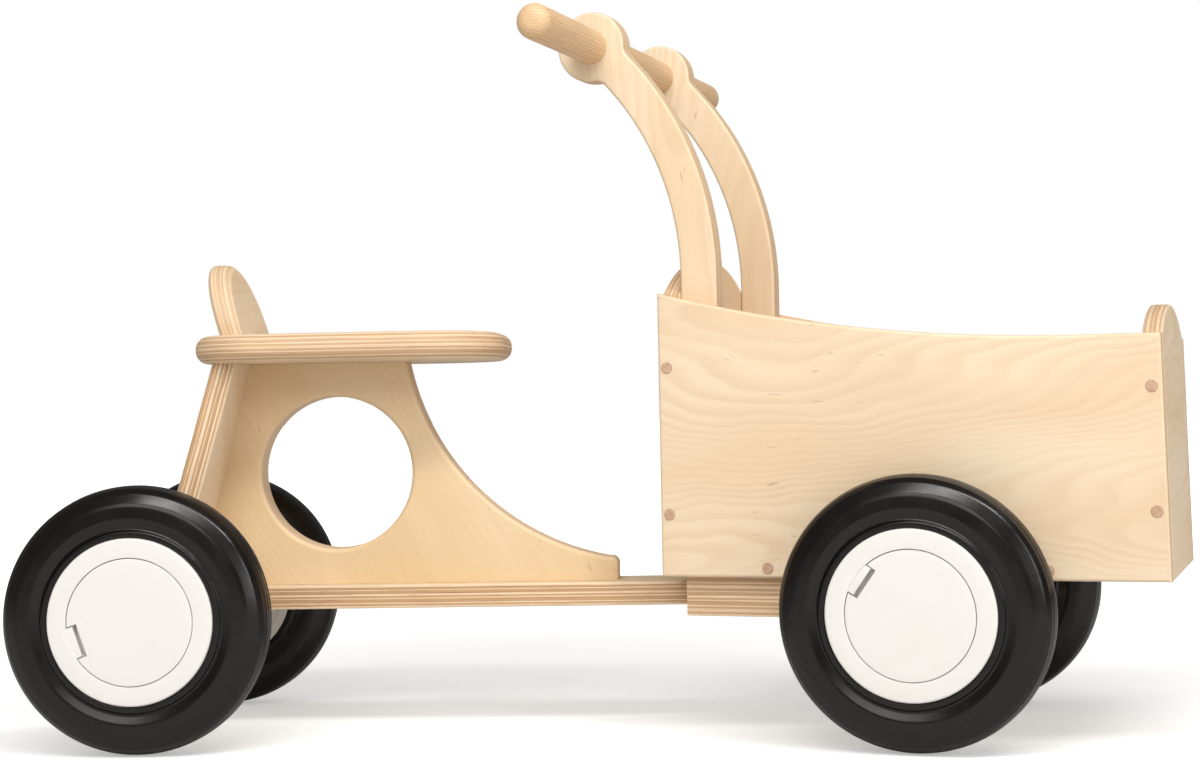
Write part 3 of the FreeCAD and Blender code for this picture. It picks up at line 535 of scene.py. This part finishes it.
def turned(name, profile, place, finish, around, sharp=40):
    """A closed lathe shape. The profile's points are (radius, height) about
    local Z, and place puts it in the frame."""
    bm = bmesh.new()
    rings = []
    for radius, height in profile:
        if radius < SPECK:
            rings.append([bm.verts.new((0, 0, height))])
            continue
        rings.append([
            bm.verts.new((radius * math.cos(a), radius * math.sin(a), height))
            for a in (2 * math.pi * k / around for k in range(around))])
    closed = len(rings[0]) > 1
    for low, high in zip(rings, rings[1:] + (rings[:1] if closed else [])):
        for k in range(around):
            n = (k + 1) % around
            corners = [low[k % len(low)], low[n % len(low)], high[n % len(high)], high[k % len(high)]]
            bm.faces.new(list(dict.fromkeys(corners)))
    bmesh.ops.recalc_face_normals(bm, faces=bm.faces)
    bm.transform(place)
    mesh = bpy.data.meshes.new(name)
    bm.to_mesh(mesh)
    bm.free()
    mesh.materials.append(finish)
    smoothed(mesh, sharp)
    return linked(name, mesh)


def standing(centre, outward):
    """The place whose local Z points outward."""
    return Matrix.Translation(centre) @ outward.to_track_quat("Z", "Y").to_matrix().to_4x4()


# ------------------------------------------------------------ boards
def sections(node, through):
    """The closed loops where the plane through the node's middle cuts it."""
    bm = bmesh.new()
    bm.from_mesh(frame["nodes"][node].data)
    bmesh.ops.remove_doubles(bm, verts=bm.verts, dist=WELD)
    everything = list(bm.verts) + list(bm.edges) + list(bm.faces)
    bmesh.ops.bisect_plane(
        bm, geom=everything, dist=SPECK, plane_co=middle(node), plane_no=through, clear_inner=True,
        clear_outer=True)
    bmesh.ops.remove_doubles(bm, verts=bm.verts, dist=2 * WELD)
    left, loops = set(bm.verts), []
    while left:
        here, loop = left.pop(), []
        while here:
            loop.append(here.co.copy())
            ahead = [e.other_vert(here) for e in here.link_edges]
            here = next((v for v in ahead if v in left), None)
            left.discard(here)
        loops.append(loop)
    bm.free()
    return loops


def area(loop):
    """The loop's area, positive where it runs anticlockwise."""
    return sum(a.cross(b) for a, b in zip(loop, loop[1:] + loop[:1])) / 2


def turn_at(loop, i):
    """How far the loop turns at its point i."""
    before, after = loop[i] - loop[i - 1], loop[(i + 1) % len(loop)] - loop[i]
    return before.angle_signed(after)


def cleaned(loop):
    """The loop without the points that lie on its straight runs."""
    loop = [p for i, p in enumerate(loop) if (p - loop[i - 1]).length > 0.02 * MM]
    return [p for i, p in enumerate(loop) if abs(turn_at(loop, i)) > math.radians(0.25)]


WIDEST_BORE = 9.5 * MM    # across the mouth of a blind hole
SHALLOWEST_BORE = 2 * MM
LONGEST_NOTCH = 60        # points along one hole's outline


def is_bore(loop, at, span):
    """Whether the span of points from at is a notch in a straight run."""
    count = len(loop)
    start, end = loop[at], loop[(at + span) % count]
    mouth = end - start
    if not 0 < mouth.length < WIDEST_BORE:
        return False
    reach = max(abs(mouth.cross(loop[(at + k) % count] - start)) for k in range(span))
    if reach < SHALLOWEST_BORE * mouth.length:
        return False
    runs = start - loop[at - 1], loop[(at + span + 1) % count] - end
    return all(run.length and abs(run.angle_signed(mouth)) < math.radians(4) for run in runs)


def unbored(loop):
    """The loop without the notches of blind holes bored into the board's edge."""
    at = 0
    while at < len(loop):
        count = len(loop)
        spans = range(3, min(LONGEST_NOTCH, count - 2))
        span = next((span for span in spans if is_bore(loop, at, span)), None)
        if span:
            gone = {(at + k) % count for k in range(span + 1)}
            loop = [p for k, p in enumerate(loop) if k not in gone]
            at = 0
        else:
            at += 1
    return loop


LONGEST_CHORD = 14 * MM   # a longer chord between two turns is a straight run
GENTLE = math.radians(20)


def finer(loop):
    """The loop with a point added to the middle of each short chord of a bend."""
    made = []
    for i, p in enumerate(loop):
        q = loop[(i + 1) % len(loop)]
        made.append(p)
        first, last = turn_at(loop, i), turn_at(loop, (i + 1) % len(loop))
        bending = first * last > 0 and max(abs(first), abs(last)) < GENTLE
        if bending and (q - p).length < LONGEST_CHORD:
            chord = q - p
            bulge = min(abs(first), abs(last)) / 8 * (1 if first > 0 else -1)
            made.append((p + q) / 2 - Vector((-chord.y, chord.x)) * bulge)
    return made


def inset(loop, amounts):
    """The loop moved inwards, each edge by its own amount."""
    normals = []
    for i, p in enumerate(loop):
        run = (loop[(i + 1) % len(loop)] - p).normalized()
        normals.append(Vector((-run.y, run.x)))
    made = []
    for i, p in enumerate(loop):
        a, b, da, db = normals[i - 1], normals[i], amounts[i - 1], amounts[i]
        cross = a.cross(b)
        if abs(cross) < 0.02:      # nearly straight on, where the corner has no sharp place
            made.append(p + (a + b).normalized() * (da + db) / 2)
        else:
            made.append(p + Vector((da * b.y - db * a.y, db * a.x - da * b.x)) / cross)
    return made


HAIR = 0.4 * MM           # the ease of an edge that is only broken with paper
GLUED = 0.15 * MM         # and of one that is glued to its neighbour
EASE_STEPS = 5
WIDE_HOLE = 0.001         # square metres, from where a hole's edge is eased too


def slab(node, finish, along, through, thick, ease, sweep, smallest):
    """A board cut to the node's outline, with eased edges. ease(point, side)
    gives the radius at a point of the outline, on the face at that side of
    through. The board's sides run along sweep where it isn't through itself,
    and bores narrower than smallest are left uncut."""
    sweep = (sweep or through) / (sweep or through).dot(through)
    along = (along - through * along.dot(through)).normalized()
    across, centre = through.cross(along), middle(node)

    def flat(p):
        return Vector(((p - centre).dot(along), (p - centre).dot(across)))

    def solid(p, height):
        return centre + along * p.x + across * p.y + sweep * height

    loops = [cleaned([flat(p) for p in loop]) for loop in sections(node, through)]
    loops = sorted((loop for loop in loops if len(loop) > 2), key=lambda loop: -abs(area(loop)))
    bm = bmesh.new()
    faces = {-1: [], 1: []}
    for n, loop in enumerate(loops):
        if n and 2 * math.sqrt(abs(area(loop)) / math.pi) < smallest:
            continue
        if (area(loop) > 0) != (n == 0):
            loop = loop[::-1]
        loop = loop if n else unbored(loop)
        loop = finer(finer(loop))
        count = len(loop)
        rings = []
        middles = [solid((p + loop[(i + 1) % count]) / 2, 0) for i, p in enumerate(loop)]
        for side in (-1, 1):
            open_edge = n == 0 or abs(area(loop)) > WIDE_HOLE
            radii = [ease(point, side) if open_edge else GLUED for point in middles]
            made = []
            for k in range(EASE_STEPS + 1):
                a = math.pi / 2 * k / EASE_STEPS
                edge = inset(loop, [r * (1 - math.sin(a)) for r in radii])
                rise = [max(radii[i - 1], radii[i]) * (1 - math.cos(a)) for i in range(count)]
                made.append([bm.verts.new(solid(p, side * (thick / 2 - h))) for p, h in zip(edge, rise)])
            rings += made if side < 0 else made[::-1]
        for low, high in zip(rings, rings[1:]):
            for i in range(count):
                j = (i + 1) % count
                bm.faces.new((low[i], low[j], high[j], high[i]))
        for side, ring in ((-1, rings[0]), (1, rings[-1])):
            faces[side] += [bm.edges.get((ring[i - 1], ring[i])) for i in range(count)]
    for side, rim in faces.items():
        bmesh.ops.triangle_fill(bm, use_beauty=True, use_dissolve=False, edges=rim, normal=through * side)
    bmesh.ops.remove_doubles(bm, verts=bm.verts, dist=SPECK)
    bmesh.ops.recalc_face_normals(bm, faces=bm.faces)
    mesh = bpy.data.meshes.new(node + "_finished")
    bm.to_mesh(mesh)
    bm.free()
    mesh.materials.append(finish)
    smoothed(mesh, 34)
    obj = linked(node + "_finished", mesh)
    level_normals(obj)
    place_in(obj, node)


back_through = tilted(frame_x, -BACK_LEAN)
back_up = tilted(frame_x, 90 - BACK_LEAN)
rest_through = tilted(frame_x, REST_LEAN)
front_through = tilted(truck_x, FRONT_RAKE)
beam_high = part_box("base_beam")[1]
seat_low, seat_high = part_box("seat_board")
floor_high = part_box("cargo_floor")[1]


def all_round(radius):
    return lambda point, side: radius * MM


def clear_of_joints(radius, low, high=math.inf, plane=None):
    """The radius, but a hair's breadth where the edge is glued: below low,
    above high, or on the plane (point, normal)."""
    def ease(point, side):
        glued = point.z < low + 0.3 * MM or point.z > high - 0.3 * MM
        if plane and abs((point - plane[0]).dot(plane[1])) < 0.8 * MM:
            glued = True
        return GLUED if glued else radius * MM
    return ease


NOSE_LONG = 26 * MM


def beam_ease(point, side):
    """Well rounded at the beam's nose and only broken elsewhere."""
    return 2.2 * MM if point.x > beam_high.x - NOSE_LONG else 0.7 * MM


def side_ease(outward):
    """A box side is rounded on its outer face alone."""
    return lambda point, side: 2.2 * MM if side == outward else HAIR


def crown_ease(shoulder):
    """A box end is rounded above its shoulders, where it stands free."""
    return lambda point, side: 2.2 * MM if point.z > shoulder else HAIR


BOX_PLY, FRAME_PLY, REST_PLY = 12 * MM, 15 * MM, 14.66 * MM
REAR_SHOULDER, FRONT_SHOULDER = 278.2 * MM, 244.7 * MM
WEB_GRAIN = 119           # degrees from forwards, rising to the rear
# the board whose veneer gets painted warm bounce light and shade
WARM_BOUNCE_BOARD = "centre_web"

arm_ease = clear_of_joints(2.0, floor_high.z)
back_ease = clear_of_joints(2.2, beam_high.z, seat_low.z)
rest_ease = clear_of_joints(4.5, seat_high.z)
web_ease = clear_of_joints(3.0, beam_high.z, seat_low.z, (
    middle("back_panel") + frame_x * (FRAME_PLY / math.cos(math.radians(BACK_LEAN)) / 2), back_through))
# node: (thickness, grain, through, sweep, layers, layer contrast, edge ease,
# smallest bore in millimetres)
boards = {
    "base_beam": (size("base_beam").z, frame_x, UP, None, 11, 1.0, beam_ease, 8),
    "centre_web": (size("centre_web").y, tilted(frame_x, WEB_GRAIN), frame_y, None, 17, 0.2, web_ease, 40),
    "back_panel": (FRAME_PLY, back_up, back_through, frame_x, 11, 1.0, back_ease, 20),
    "seat_board": (size("seat_board").z, frame_x, UP, None, 13, 0.8, all_round(8.4), 20),
    "backrest": (REST_PLY, frame_y, rest_through, frame_x, 11, 0.5, rest_ease, 20),
    "cargo_floor": (size("cargo_floor").z, truck_x, UP, None, 9, 0.9, all_round(0.3), 9),
    "cargo_side_right": (BOX_PLY, truck_x, truck_y, None, 9, 0.7, side_ease(-1), 5),
    "cargo_side_left": (BOX_PLY, truck_x, truck_y, None, 9, 0.7, side_ease(1), 5),
    "cargo_rear_panel": (BOX_PLY, truck_y, truck_x, None, 9, 0.8, crown_ease(REAR_SHOULDER), 20),
    "cargo_front_panel": (BOX_PLY, truck_y, front_through, truck_x, 9, 0.8, crown_ease(FRONT_SHOULDER), 20),
    "handle_arm_right": (FRAME_PLY, UP, truck_y, None, 11, 0.55, arm_ease, 15),
    "handle_arm_left": (FRAME_PLY, UP, truck_y, None, 11, 0.55, arm_ease, 15),
    "axle_rail_right": (size("axle_rail_right").z, truck_x, UP, None, 17, 0.9, all_round(0.7), 20),
    "axle_rail_left": (size("axle_rail_left").z, truck_x, UP, None, 17, 0.9, all_round(0.7), 20),
}
for seed, (node, about) in enumerate(boards.items(), 1):
    thick, grain, through, sweep, layers, contrast, ease, bore = about
    # the centre web gets the more golden faces, which are painted warm bounce light and shade
    faces, ring = (WARM_BOUNCE_FACES, 0.22) if node == WARM_BOUNCE_BOARD else (PALE_FACES, 0.36)
    finish = birch_ply("birch ply " + node.replace("_", " "), thick, grain, through, middle(node),
                       float(seed), layers, contrast, faces, ring)
    slab(node, finish, grain, through, thick, ease, sweep, bore * MM)
block_ply = birch_ply("birch ply axle block", size("rear_axle_block").z, frame_y, UP,
                      middle("rear_axle_block"), 20.0, 17, 0.8, PALE_FACES, 0.5)
eased("rear_axle_block", block_ply, HAIR)

# ------------------------------------------------------------ wheels
# millimetres in a wheel's own axes, where Z is the axle and points outward
WHEEL, HALF, HUB = 82.5, 18.0, 51.0
GROOVES_AT, GROOVE_DEEP, GROOVE_HALF = (-6.6, -2.2, 2.2, 6.6), 1.3, 0.75
HUB_FACE, CAP, CAP_GAP, CAP_THICK = 18.9, 38.6, 0.45, 3.2
BUSH, SLOT_LONG, SLOT_DEEP = 7.0, 20.5, 7.6
LEDGE = HUB_FACE - CAP_THICK - CAP_GAP
REAR_SLOT, FRONT_SLOT = 199, 145       # where the caps' slots stand, in degrees
WHEEL_SIDES = {"rear_right": -1, "rear_left": 1, "front_right": -1, "front_left": 1}
AROUND = 224              # faces round a wheel


def tyre_profile():
    """The tyre's section, from the inner bead round the crown to the outer
    lip, in millimetres."""
    crown = []
    for centre in GROOVES_AT:
        tread = WHEEL - 0.3 - 0.016 * centre * centre
        bed = tread - GROOVE_DEEP
        crown += [(tread, centre - GROOVE_HALF, 0.25), (bed, centre - GROOVE_HALF + 0.2, 0.3),
                  (bed, centre + GROOVE_HALF - 0.2, 0.3), (tread, centre + GROOVE_HALF, 0.25)]
    corners = [
        (HUB, 1 - HALF, 0), (HUB + 3.5, 1 - HALF, 0.6), (HUB + 5.0, 1.9 - HALF, 0.8),
        (HUB + 11, 0.1 - HALF, 6), (WHEEL - 11.5, 0.9 - HALF, 9), (WHEEL - 5.0, 4.6 - HALF, 4),
        (WHEEL - 4.2, 5.3 - HALF, 0.3), (WHEEL - 2.2, -10.4, 1.6)] + crown + [
        (WHEEL - 2.2, 10.4, 1.6), (WHEEL - 4.2, HALF - 5.3, 0.3), (WHEEL - 5.0, HALF - 4.6, 4),
        (WHEEL - 11.5, HALF - 0.9, 9), (HUB + 11, HALF - 0.1, 6), (HUB + 5.2, HALF - 2.4, 1.6),
        (HUB + 3.6, HALF - 0.25, 1.4), (HUB + 0.6, HALF - 0.25, 0.5), (HUB, HALF - 1.2, 0)]
    return [p * MM for p in rounded(corners)]


def block(x, y, z, place, round_off=0.0):
    """A block between the given (low, high) pairs in a wheel's own axes."""
    bm = bmesh.new()
    bmesh.ops.create_cube(bm, size=1)
    for vert in bm.verts:
        spans = zip(vert.co, (x, y, z))
        vert.co = Vector([low + (co + 0.5) * (high - low) for co, (low, high) in spans]) * MM
    if round_off:
        bmesh.ops.bevel(
            bm, geom=list(bm.edges), offset=round_off * MM, segments=3, affect="EDGES", profile=0.5)
    bm.transform(place)
    mesh = bpy.data.meshes.new("block")
    bm.to_mesh(mesh)
    bm.free()
    return linked("block", mesh)


def joined_with(obj, other, operation):
    """The object with the other one worked into it and gone."""
    tool = obj.modifiers.new("joint", "BOOLEAN")
    tool.operation, tool.object, tool.solver = operation, other, "EXACT"
    settled(obj)
    mesh = other.data
    bpy.data.objects.remove(other)
    bpy.data.meshes.remove(mesh)
    smoothed(obj.data, 30)
    return obj


def rim(name, place, slot_turn):
    """The white hub: a flat face with a round seat for the cap, and the tab
    that shows in the cap's slot."""
    bead, seat, step = HUB - 0.15, CAP + CAP_GAP, LEDGE - 2.5
    back, dish = -HALF, 3 - HALF
    profile = [
        (BUSH, back, 0.3), (13, back, 0.5), (14.5, dish, 0.8), (44, dish, 0.8), (45.5, back + 1, 0.5),
        (bead, back + 1, 0.4), (bead, HUB_FACE, 1.4), (seat, HUB_FACE, 0.35), (seat, LEDGE, 0.2),
        (34.8, LEDGE, 0.2), (34.6, step, 0.2), (30, step, 0.2), (29.5, 2, 0.5), (14.5, 2, 0.5),
        (13, 6, 0.4), (BUSH, 6, 0.2)]
    made = turned(name + "_rim_finished", loop_of(profile), place, hub_white, AROUND, sharp=30)
    half_long = SLOT_LONG / 2 - 0.8
    tab = block((CAP - SLOT_DEEP + 3.1, seat + 1.5), (-half_long, half_long), (LEDGE - 1, HUB_FACE - 0.5),
                place @ Matrix.Rotation(slot_turn, 4, "Z"), 0.35)
    return joined_with(made, tab, "UNION")


def hub_cap(name, place, slot_turn):
    """The round cap, faintly crowned, with a slot for a coin at its edge."""
    face = LEDGE + CAP_THICK
    profile = rounded([
        (0, LEDGE, 0), (CAP, LEDGE, 0.2), (CAP, face - 0.1, 0.5), (CAP - 3, face, 2.0), (0, face, 0)])
    made = turned(name + "_hub_cap_finished", [p * MM for p in profile], place, hub_white, AROUND, sharp=30)
    slot = block((CAP - SLOT_DEEP, CAP + 3), (-SLOT_LONG / 2, SLOT_LONG / 2), (LEDGE - 2, face + 2),
                 place @ Matrix.Rotation(slot_turn, 4, "Z"))
    return joined_with(made, slot, "DIFFERENCE")


for name, side in WHEEL_SIDES.items():
    joint = joints[name + "_spin"]
    place = standing(Vector(joint["pos_m"]), Vector(joint["axis"]) * side)
    tyre = turned(name + "_tyre_finished", tyre_profile(), place, tyre_rubber, AROUND, sharp=28)
    place_in(tyre, name + "_tyre")
    slot_turn = math.radians(REAR_SLOT if name.startswith("rear") else FRONT_SLOT)
    place_in(rim(name, place, slot_turn), name + "_rim")
    place_in(hub_cap(name, place, slot_turn), name + "_hub_cap")
    eased(name + "_bush", bush_white, 0.25 * MM)

# ------------------------------------------------------------ handlebar and ironwork
BAR, GRIP = 11.2 * MM, 11.0 * MM       # radii between the arms and outside them
BAR_END, ARMS_OUT, BAR_TIP = 180 * MM, 76.5 * MM, 8.5 * MM
bar_profile = rounded([
    (0, -BAR_END, 0), (GRIP, -BAR_END, BAR_TIP), (GRIP, -ARMS_OUT, 0), (BAR, -ARMS_OUT, 0),
    (BAR, ARMS_OUT, 0), (GRIP, ARMS_OUT, 0), (GRIP, BAR_END, BAR_TIP), (0, BAR_END, 0)], steps=10)
handlebar = turned("handlebar_finished", bar_profile, standing(middle("handlebar"), truck_y), beech, 96)
place_in(handlebar, "handlebar")

# node: its ease in millimetres
for node, ease in (
        ("rear_axle_rod", 0.5), ("rear_axle_spacers", 0.3), ("rear_axle_nuts", 0.8), ("front_axle_rod", 0.5),
        ("front_axle_spacers", 0.3), ("front_axle_nuts", 0.8), ("pivot_bolt", 0.3), ("pivot_washer", 0.3),
        ("pivot_nut", 0.5)):
    eased(node, steel, ease * MM)
eased("glide_washer", bush_white, 0.2 * MM)


# ------------------------------------------------------------ pegs and screws
def geometry_tree(name, inputs):
    """An empty geometry node group with named sockets: (Tree, inputs, output node)."""
    made = bpy.data.node_groups.new(name, "GeometryNodeTree")
    made.interface.new_socket(name="Geometry", in_out="INPUT", socket_type="NodeSocketGeometry")
    for label, kind in inputs:
        made.interface.new_socket(name=label, in_out="INPUT", socket_type="NodeSocket" + kind)
    made.interface.new_socket(name="Geometry", in_out="OUTPUT", socket_type="NodeSocketGeometry")
    tree = Tree(made)
    return tree, tree.put("NodeGroupInput").outputs, tree.put("NodeGroupOutput").inputs


def stood_on_points(tree, given, shape):
    """The shape on every point, its Z along Direction, as one real mesh."""
    turn = tree.put("FunctionNodeAlignRotationToVector", axis="Z", named={"Vector": given["Direction"]})
    copies = tree.put("GeometryNodeInstanceOnPoints", named={
        "Points": given["Geometry"], "Instance": shape, "Rotation": turn})
    whole = tree.put("GeometryNodeRealizeInstances", copies)
    return tree.put("GeometryNodeSetMaterial", named={"Geometry": whole, "Material": given["Material"]})


def raised(tree, shape, z):
    return tree.put("GeometryNodeTransform", named={"Geometry": shape, "Translation": tree.xyz(0.0, 0.0, z)})


PEG_SIDES, HEAD_SIDES, SHANK_SIDES = 48, 40, 24


def make_peg():
    """A round peg with chamfered ends, centred on each point."""
    tree, given, out = geometry_tree("wooden peg", [
        ("Radius", "Float"), ("Length", "Float"), ("Chamfer", "Float"), ("Direction", "Vector"),
        ("Material", "Material")])
    radius, length, chamfer = given["Radius"], given["Length"], given["Chamfer"]
    tip = tree.less(radius, chamfer)
    barrel = tree.less(length, tree.times(chamfer, 2.0))
    half, top = tree.times(barrel, 0.5), tree.times(length, 0.5)
    bottom = tree.times(top, -1.0)
    side = tree.put("GeometryNodeMeshCylinder", fill_type="NONE", named={
        "Vertices": PEG_SIDES, "Radius": radius, "Depth": barrel})
    rise = tree.put("GeometryNodeMeshCone", fill_type="NONE", named={
        "Vertices": PEG_SIDES, "Radius Top": tip, "Radius Bottom": radius, "Depth": chamfer})
    drop = tree.put("GeometryNodeMeshCone", fill_type="NONE", named={
        "Vertices": PEG_SIDES, "Radius Top": radius, "Radius Bottom": tip, "Depth": chamfer})
    lid = tree.put("GeometryNodeMeshCircle", fill_type="NGON", named={"Vertices": PEG_SIDES, "Radius": tip})
    base = tree.put("GeometryNodeFlipFaces", lid)
    joined = tree.put("GeometryNodeJoinGeometry")
    for shape, z in ((side, 0.0), (rise, half), (lid, top), (drop, bottom), (base, bottom)):
        tree.links.new(raised(tree, shape, z).outputs[0], joined.inputs[0])
    whole = tree.put("GeometryNodeMergeByDistance", joined)
    whole.inputs["Distance"].default_value = WELD
    tree.feed(out["Geometry"], stood_on_points(tree, given, whole))
    return tree.tree


def make_screw():
    """A countersunk screw with a six-sided socket, its head face on each point."""
    tree, given, out = geometry_tree("countersunk screw", [
        ("Head Radius", "Float"), ("Head Depth", "Float"), ("Shank Radius", "Float"), ("Length", "Float"),
        ("Socket Radius", "Float"), ("Socket Depth", "Float"), ("Direction", "Vector"),
        ("Material", "Material")])
    head = tree.put("GeometryNodeMeshCone", named={
        "Vertices": HEAD_SIDES, "Radius Top": given["Shank Radius"], "Radius Bottom": given["Head Radius"],
        "Depth": given["Head Depth"]})
    shank = tree.put("GeometryNodeMeshCylinder", named={
        "Vertices": SHANK_SIDES, "Radius": tree.times(given["Shank Radius"], 0.96), "Depth": given["Length"]})
    middle_z = tree.sum(tree.times(given["Length"], 0.5), tree.times(given["Head Depth"], 0.5))
    shank = tree.put("GeometryNodeTransform", named={
        "Geometry": shank, "Translation": tree.xyz(0.0, 0.0, middle_z),
        "Scale": tree.xyz(1.0, 1.0, 0.9)})
    socket = tree.put("GeometryNodeMeshCylinder", named={
        "Vertices": 6, "Radius": given["Socket Radius"], "Depth": tree.times(given["Socket Depth"], 2.0)})
    whole = tree.put("GeometryNodeMeshBoolean", operation="UNION")
    tree.links.new(head.outputs[0], whole.inputs["Mesh 2"])
    tree.links.new(shank.outputs[0], whole.inputs["Mesh 2"])
    bored = tree.put("GeometryNodeMeshBoolean", operation="DIFFERENCE", named={
        "Mesh 1": whole, "Mesh 2": socket})
    tree.feed(out["Geometry"], stood_on_points(tree, given, bored))
    return tree.tree


def islands(node):
    """The middle of each separate solid in a CAD node."""
    bm = bmesh.new()
    bm.from_mesh(frame["nodes"][node].data)
    bmesh.ops.remove_doubles(bm, verts=bm.verts, dist=WELD)
    left, found = set(bm.verts), []
    while left:
        ahead = [left.pop()]
        seen = list(ahead)
        while ahead:
            for link in ahead.pop().link_edges:
                fresh = [vert for vert in link.verts if vert in left]
                left.difference_update(fresh)
                ahead += fresh
                seen += fresh
        low = Vector([min(v.co[i] for v in seen) for i in range(3)])
        high = Vector([max(v.co[i] for v in seen) for i in range(3)])
        found.append((low + high) / 2)
    bm.free()
    return sorted(found, key=tuple)


def planted(node, tree, points, finish, slot, **values):
    """The tree's shape on the points, as the piece that stands for node."""
    mesh = bpy.data.meshes.new(node + "_points")
    mesh.from_pydata([tuple(p) for p in points], [], [])
    obj = linked(node + "_finished", mesh)
    grow = obj.modifiers.new("made pieces", "NODES")
    grow.node_group = tree
    values["Material"] = finish
    for item in tree.interface.items_tree:
        key = item.name.replace(" ", "_")
        if item.in_out == "INPUT" and key in values:
            grow[item.identifier] = values[key]
    settled(obj)
    smoothed(obj.data, 35)
    place_in(obj, node)


peg, screw = make_peg(), make_screw()
# node: (finish, direction, radius, length and chamfer in millimetres)
pegs = {
    "side_plugs_right": (plug_pink, truck_y, 3.5, 32, 0.25),
    "side_plugs_left": (plug_pink, truck_y, 3.5, 32, 0.25),
    "seat_dowels": (dowel_wood, UP, 4, 24, 0.8),
    "backrest_dowels": (dowel_wood, UP, 3, 22, 0.6),
}
for node, (finish, direction, radius, length, chamfer) in pegs.items():
    planted(node, peg, islands(node), finish, "beech", Radius=radius * MM, Length=length * MM,
            Chamfer=chamfer * MM, Direction=direction)

# node: (from the head inwards, whole length and shank length in millimetres)
screws = {
    "block_screws": (UP, 21, 18.9),
    "rail_screws": (UP, 34, 30.6),
    "arm_screws": (truck_x, 30, 27),
    "frame_screws": (UP, None, 27),
}
beam_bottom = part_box("base_beam")[0][2]
for node, (inward, length, shank) in screws.items():
    if length:
        heads = [p - inward * (length * MM / 2) for p in islands(node)]
    else:                  # of two lengths, with every head at the beam's underside
        heads = [Vector((p.x, p.y, beam_bottom)) for p in islands(node)]
    planted(node, screw, heads, steel, "zinc_steel", Head_Radius=4.4 * MM, Head_Depth=2.6 * MM,
            Shank_Radius=2.2 * MM, Length=shank * MM, Socket_Radius=1.7 * MM, Socket_Depth=1.6 * MM,
            Direction=inward)


# ------------------------------------------------------------ floor, light and camera
FLOOR_SIZE = 30
NEAR, FAR = 0.3, 1.4      # the floor whitens from one distance to the other


def pale_floor():
    """A plain matt floor that fades to the white of the studio."""
    made, tree, shader = material("pale floor")
    where = tree.put("ShaderNodeTexCoord").outputs["Object"]
    cloud = tree.noise(where, scale=1.5, detail=3)
    tree.feed(shader.inputs["Base Color"], tree.tint(cloud, (0.72, 0.72, 0.72, 1), (0.7, 0.7, 0.695, 1)))
    shader.inputs["Roughness"].default_value = 0.8
    shader.inputs["Specular IOR Level"].default_value = 0.1
    away = tree.put("ShaderNodeVectorMath", where, operation="LENGTH").outputs["Value"]
    shader.inputs["Emission Color"].default_value = (1, 1, 1, 1)
    seen = tree.put("ShaderNodeLightPath").outputs["Is Camera Ray"]
    tree.feed(shader.inputs["Emission Strength"], tree.times(seen, tree.ramp(away, NEAR, FAR, 0.4, 1.0)))
    return made


bm = bmesh.new()
bmesh.ops.create_grid(bm, x_segments=8, y_segments=8, size=FLOOR_SIZE)
floor_mesh = bpy.data.meshes.new("floor")
bm.to_mesh(floor_mesh)
bm.free()
floor_mesh.materials.append(pale_floor())
floor = linked("floor", floor_mesh)

scene = bpy.context.scene
scene.view_settings.view_transform = "Standard"
world = bpy.data.worlds.new("white studio")
world.use_nodes = True
AMBIENT, MIRRORED = 0.47, 0.2          # how bright the studio is as light, and in gloss
studio = Tree(world.node_tree)
light_path = studio.put("ShaderNodeLightPath").outputs
strength = studio.sum(AMBIENT, studio.times(light_path["Is Camera Ray"], 1 - AMBIENT))
strength = studio.less(strength, studio.times(light_path["Is Glossy Ray"], AMBIENT - MIRRORED))
background = studio.nodes["Background"]
studio.feed(background.inputs["Strength"], strength)
studio.feed(background.inputs["Color"], studio.tint(
    light_path["Is Camera Ray"], (1, 0.99, 0.97, 1), (1, 1, 1, 1)))
scene.world = world


def softbox(name, place, aim, width, height, power):
    """A rectangular light at place, turned towards aim, of so many watts."""
    light = bpy.data.lights.new(name, "AREA")
    light.shape = "RECTANGLE"
    light.size, light.size_y, light.energy = width, height, power
    light.color = (1, 0.99, 0.975)
    obj = bpy.data.objects.new(name, light)
    obj.location = place
    obj.rotation_euler = (Vector(aim) - Vector(place)).to_track_quat("-Z", "Y").to_euler()
    scene.collection.objects.link(obj)


softbox("front softbox", (-0.5, -2.2, 1.3), (0, 0, 0.2), 1.3, 0.9, 13.5)
softbox("top softbox", (0.3, -1.1, 1.6), (0, 0, 0.1), 1.9, 0.2, 25)
softbox("right softbox", (1.9, -1.9, 0.9), (0, 0, 0.12), 0.32, 1.2, 14)

EYE = (0.0705, -1.3668, 0.2073)
YAW, PITCH, ROLL = (math.radians(a) for a in (-3.5225, 0.7281, -1.0683))
camera_data = bpy.data.cameras.new("camera")
camera_data.sensor_width = 36
camera_data.lens = 61.33
camera = bpy.data.objects.new("camera", camera_data)
forward = Vector((math.sin(YAW) * math.cos(PITCH), math.cos(YAW) * math.cos(PITCH), math.sin(PITCH)))
level = forward.cross(UP).normalized()
above = level.cross(forward)
right = level * math.cos(ROLL) + above * math.sin(ROLL)
top = above * math.cos(ROLL) - level * math.sin(ROLL)
camera.matrix_world = Matrix.Translation(EYE) @ Matrix((right, top, -forward)).transposed().to_4x4()
scene.collection.objects.link(camera)
scene.camera = camera
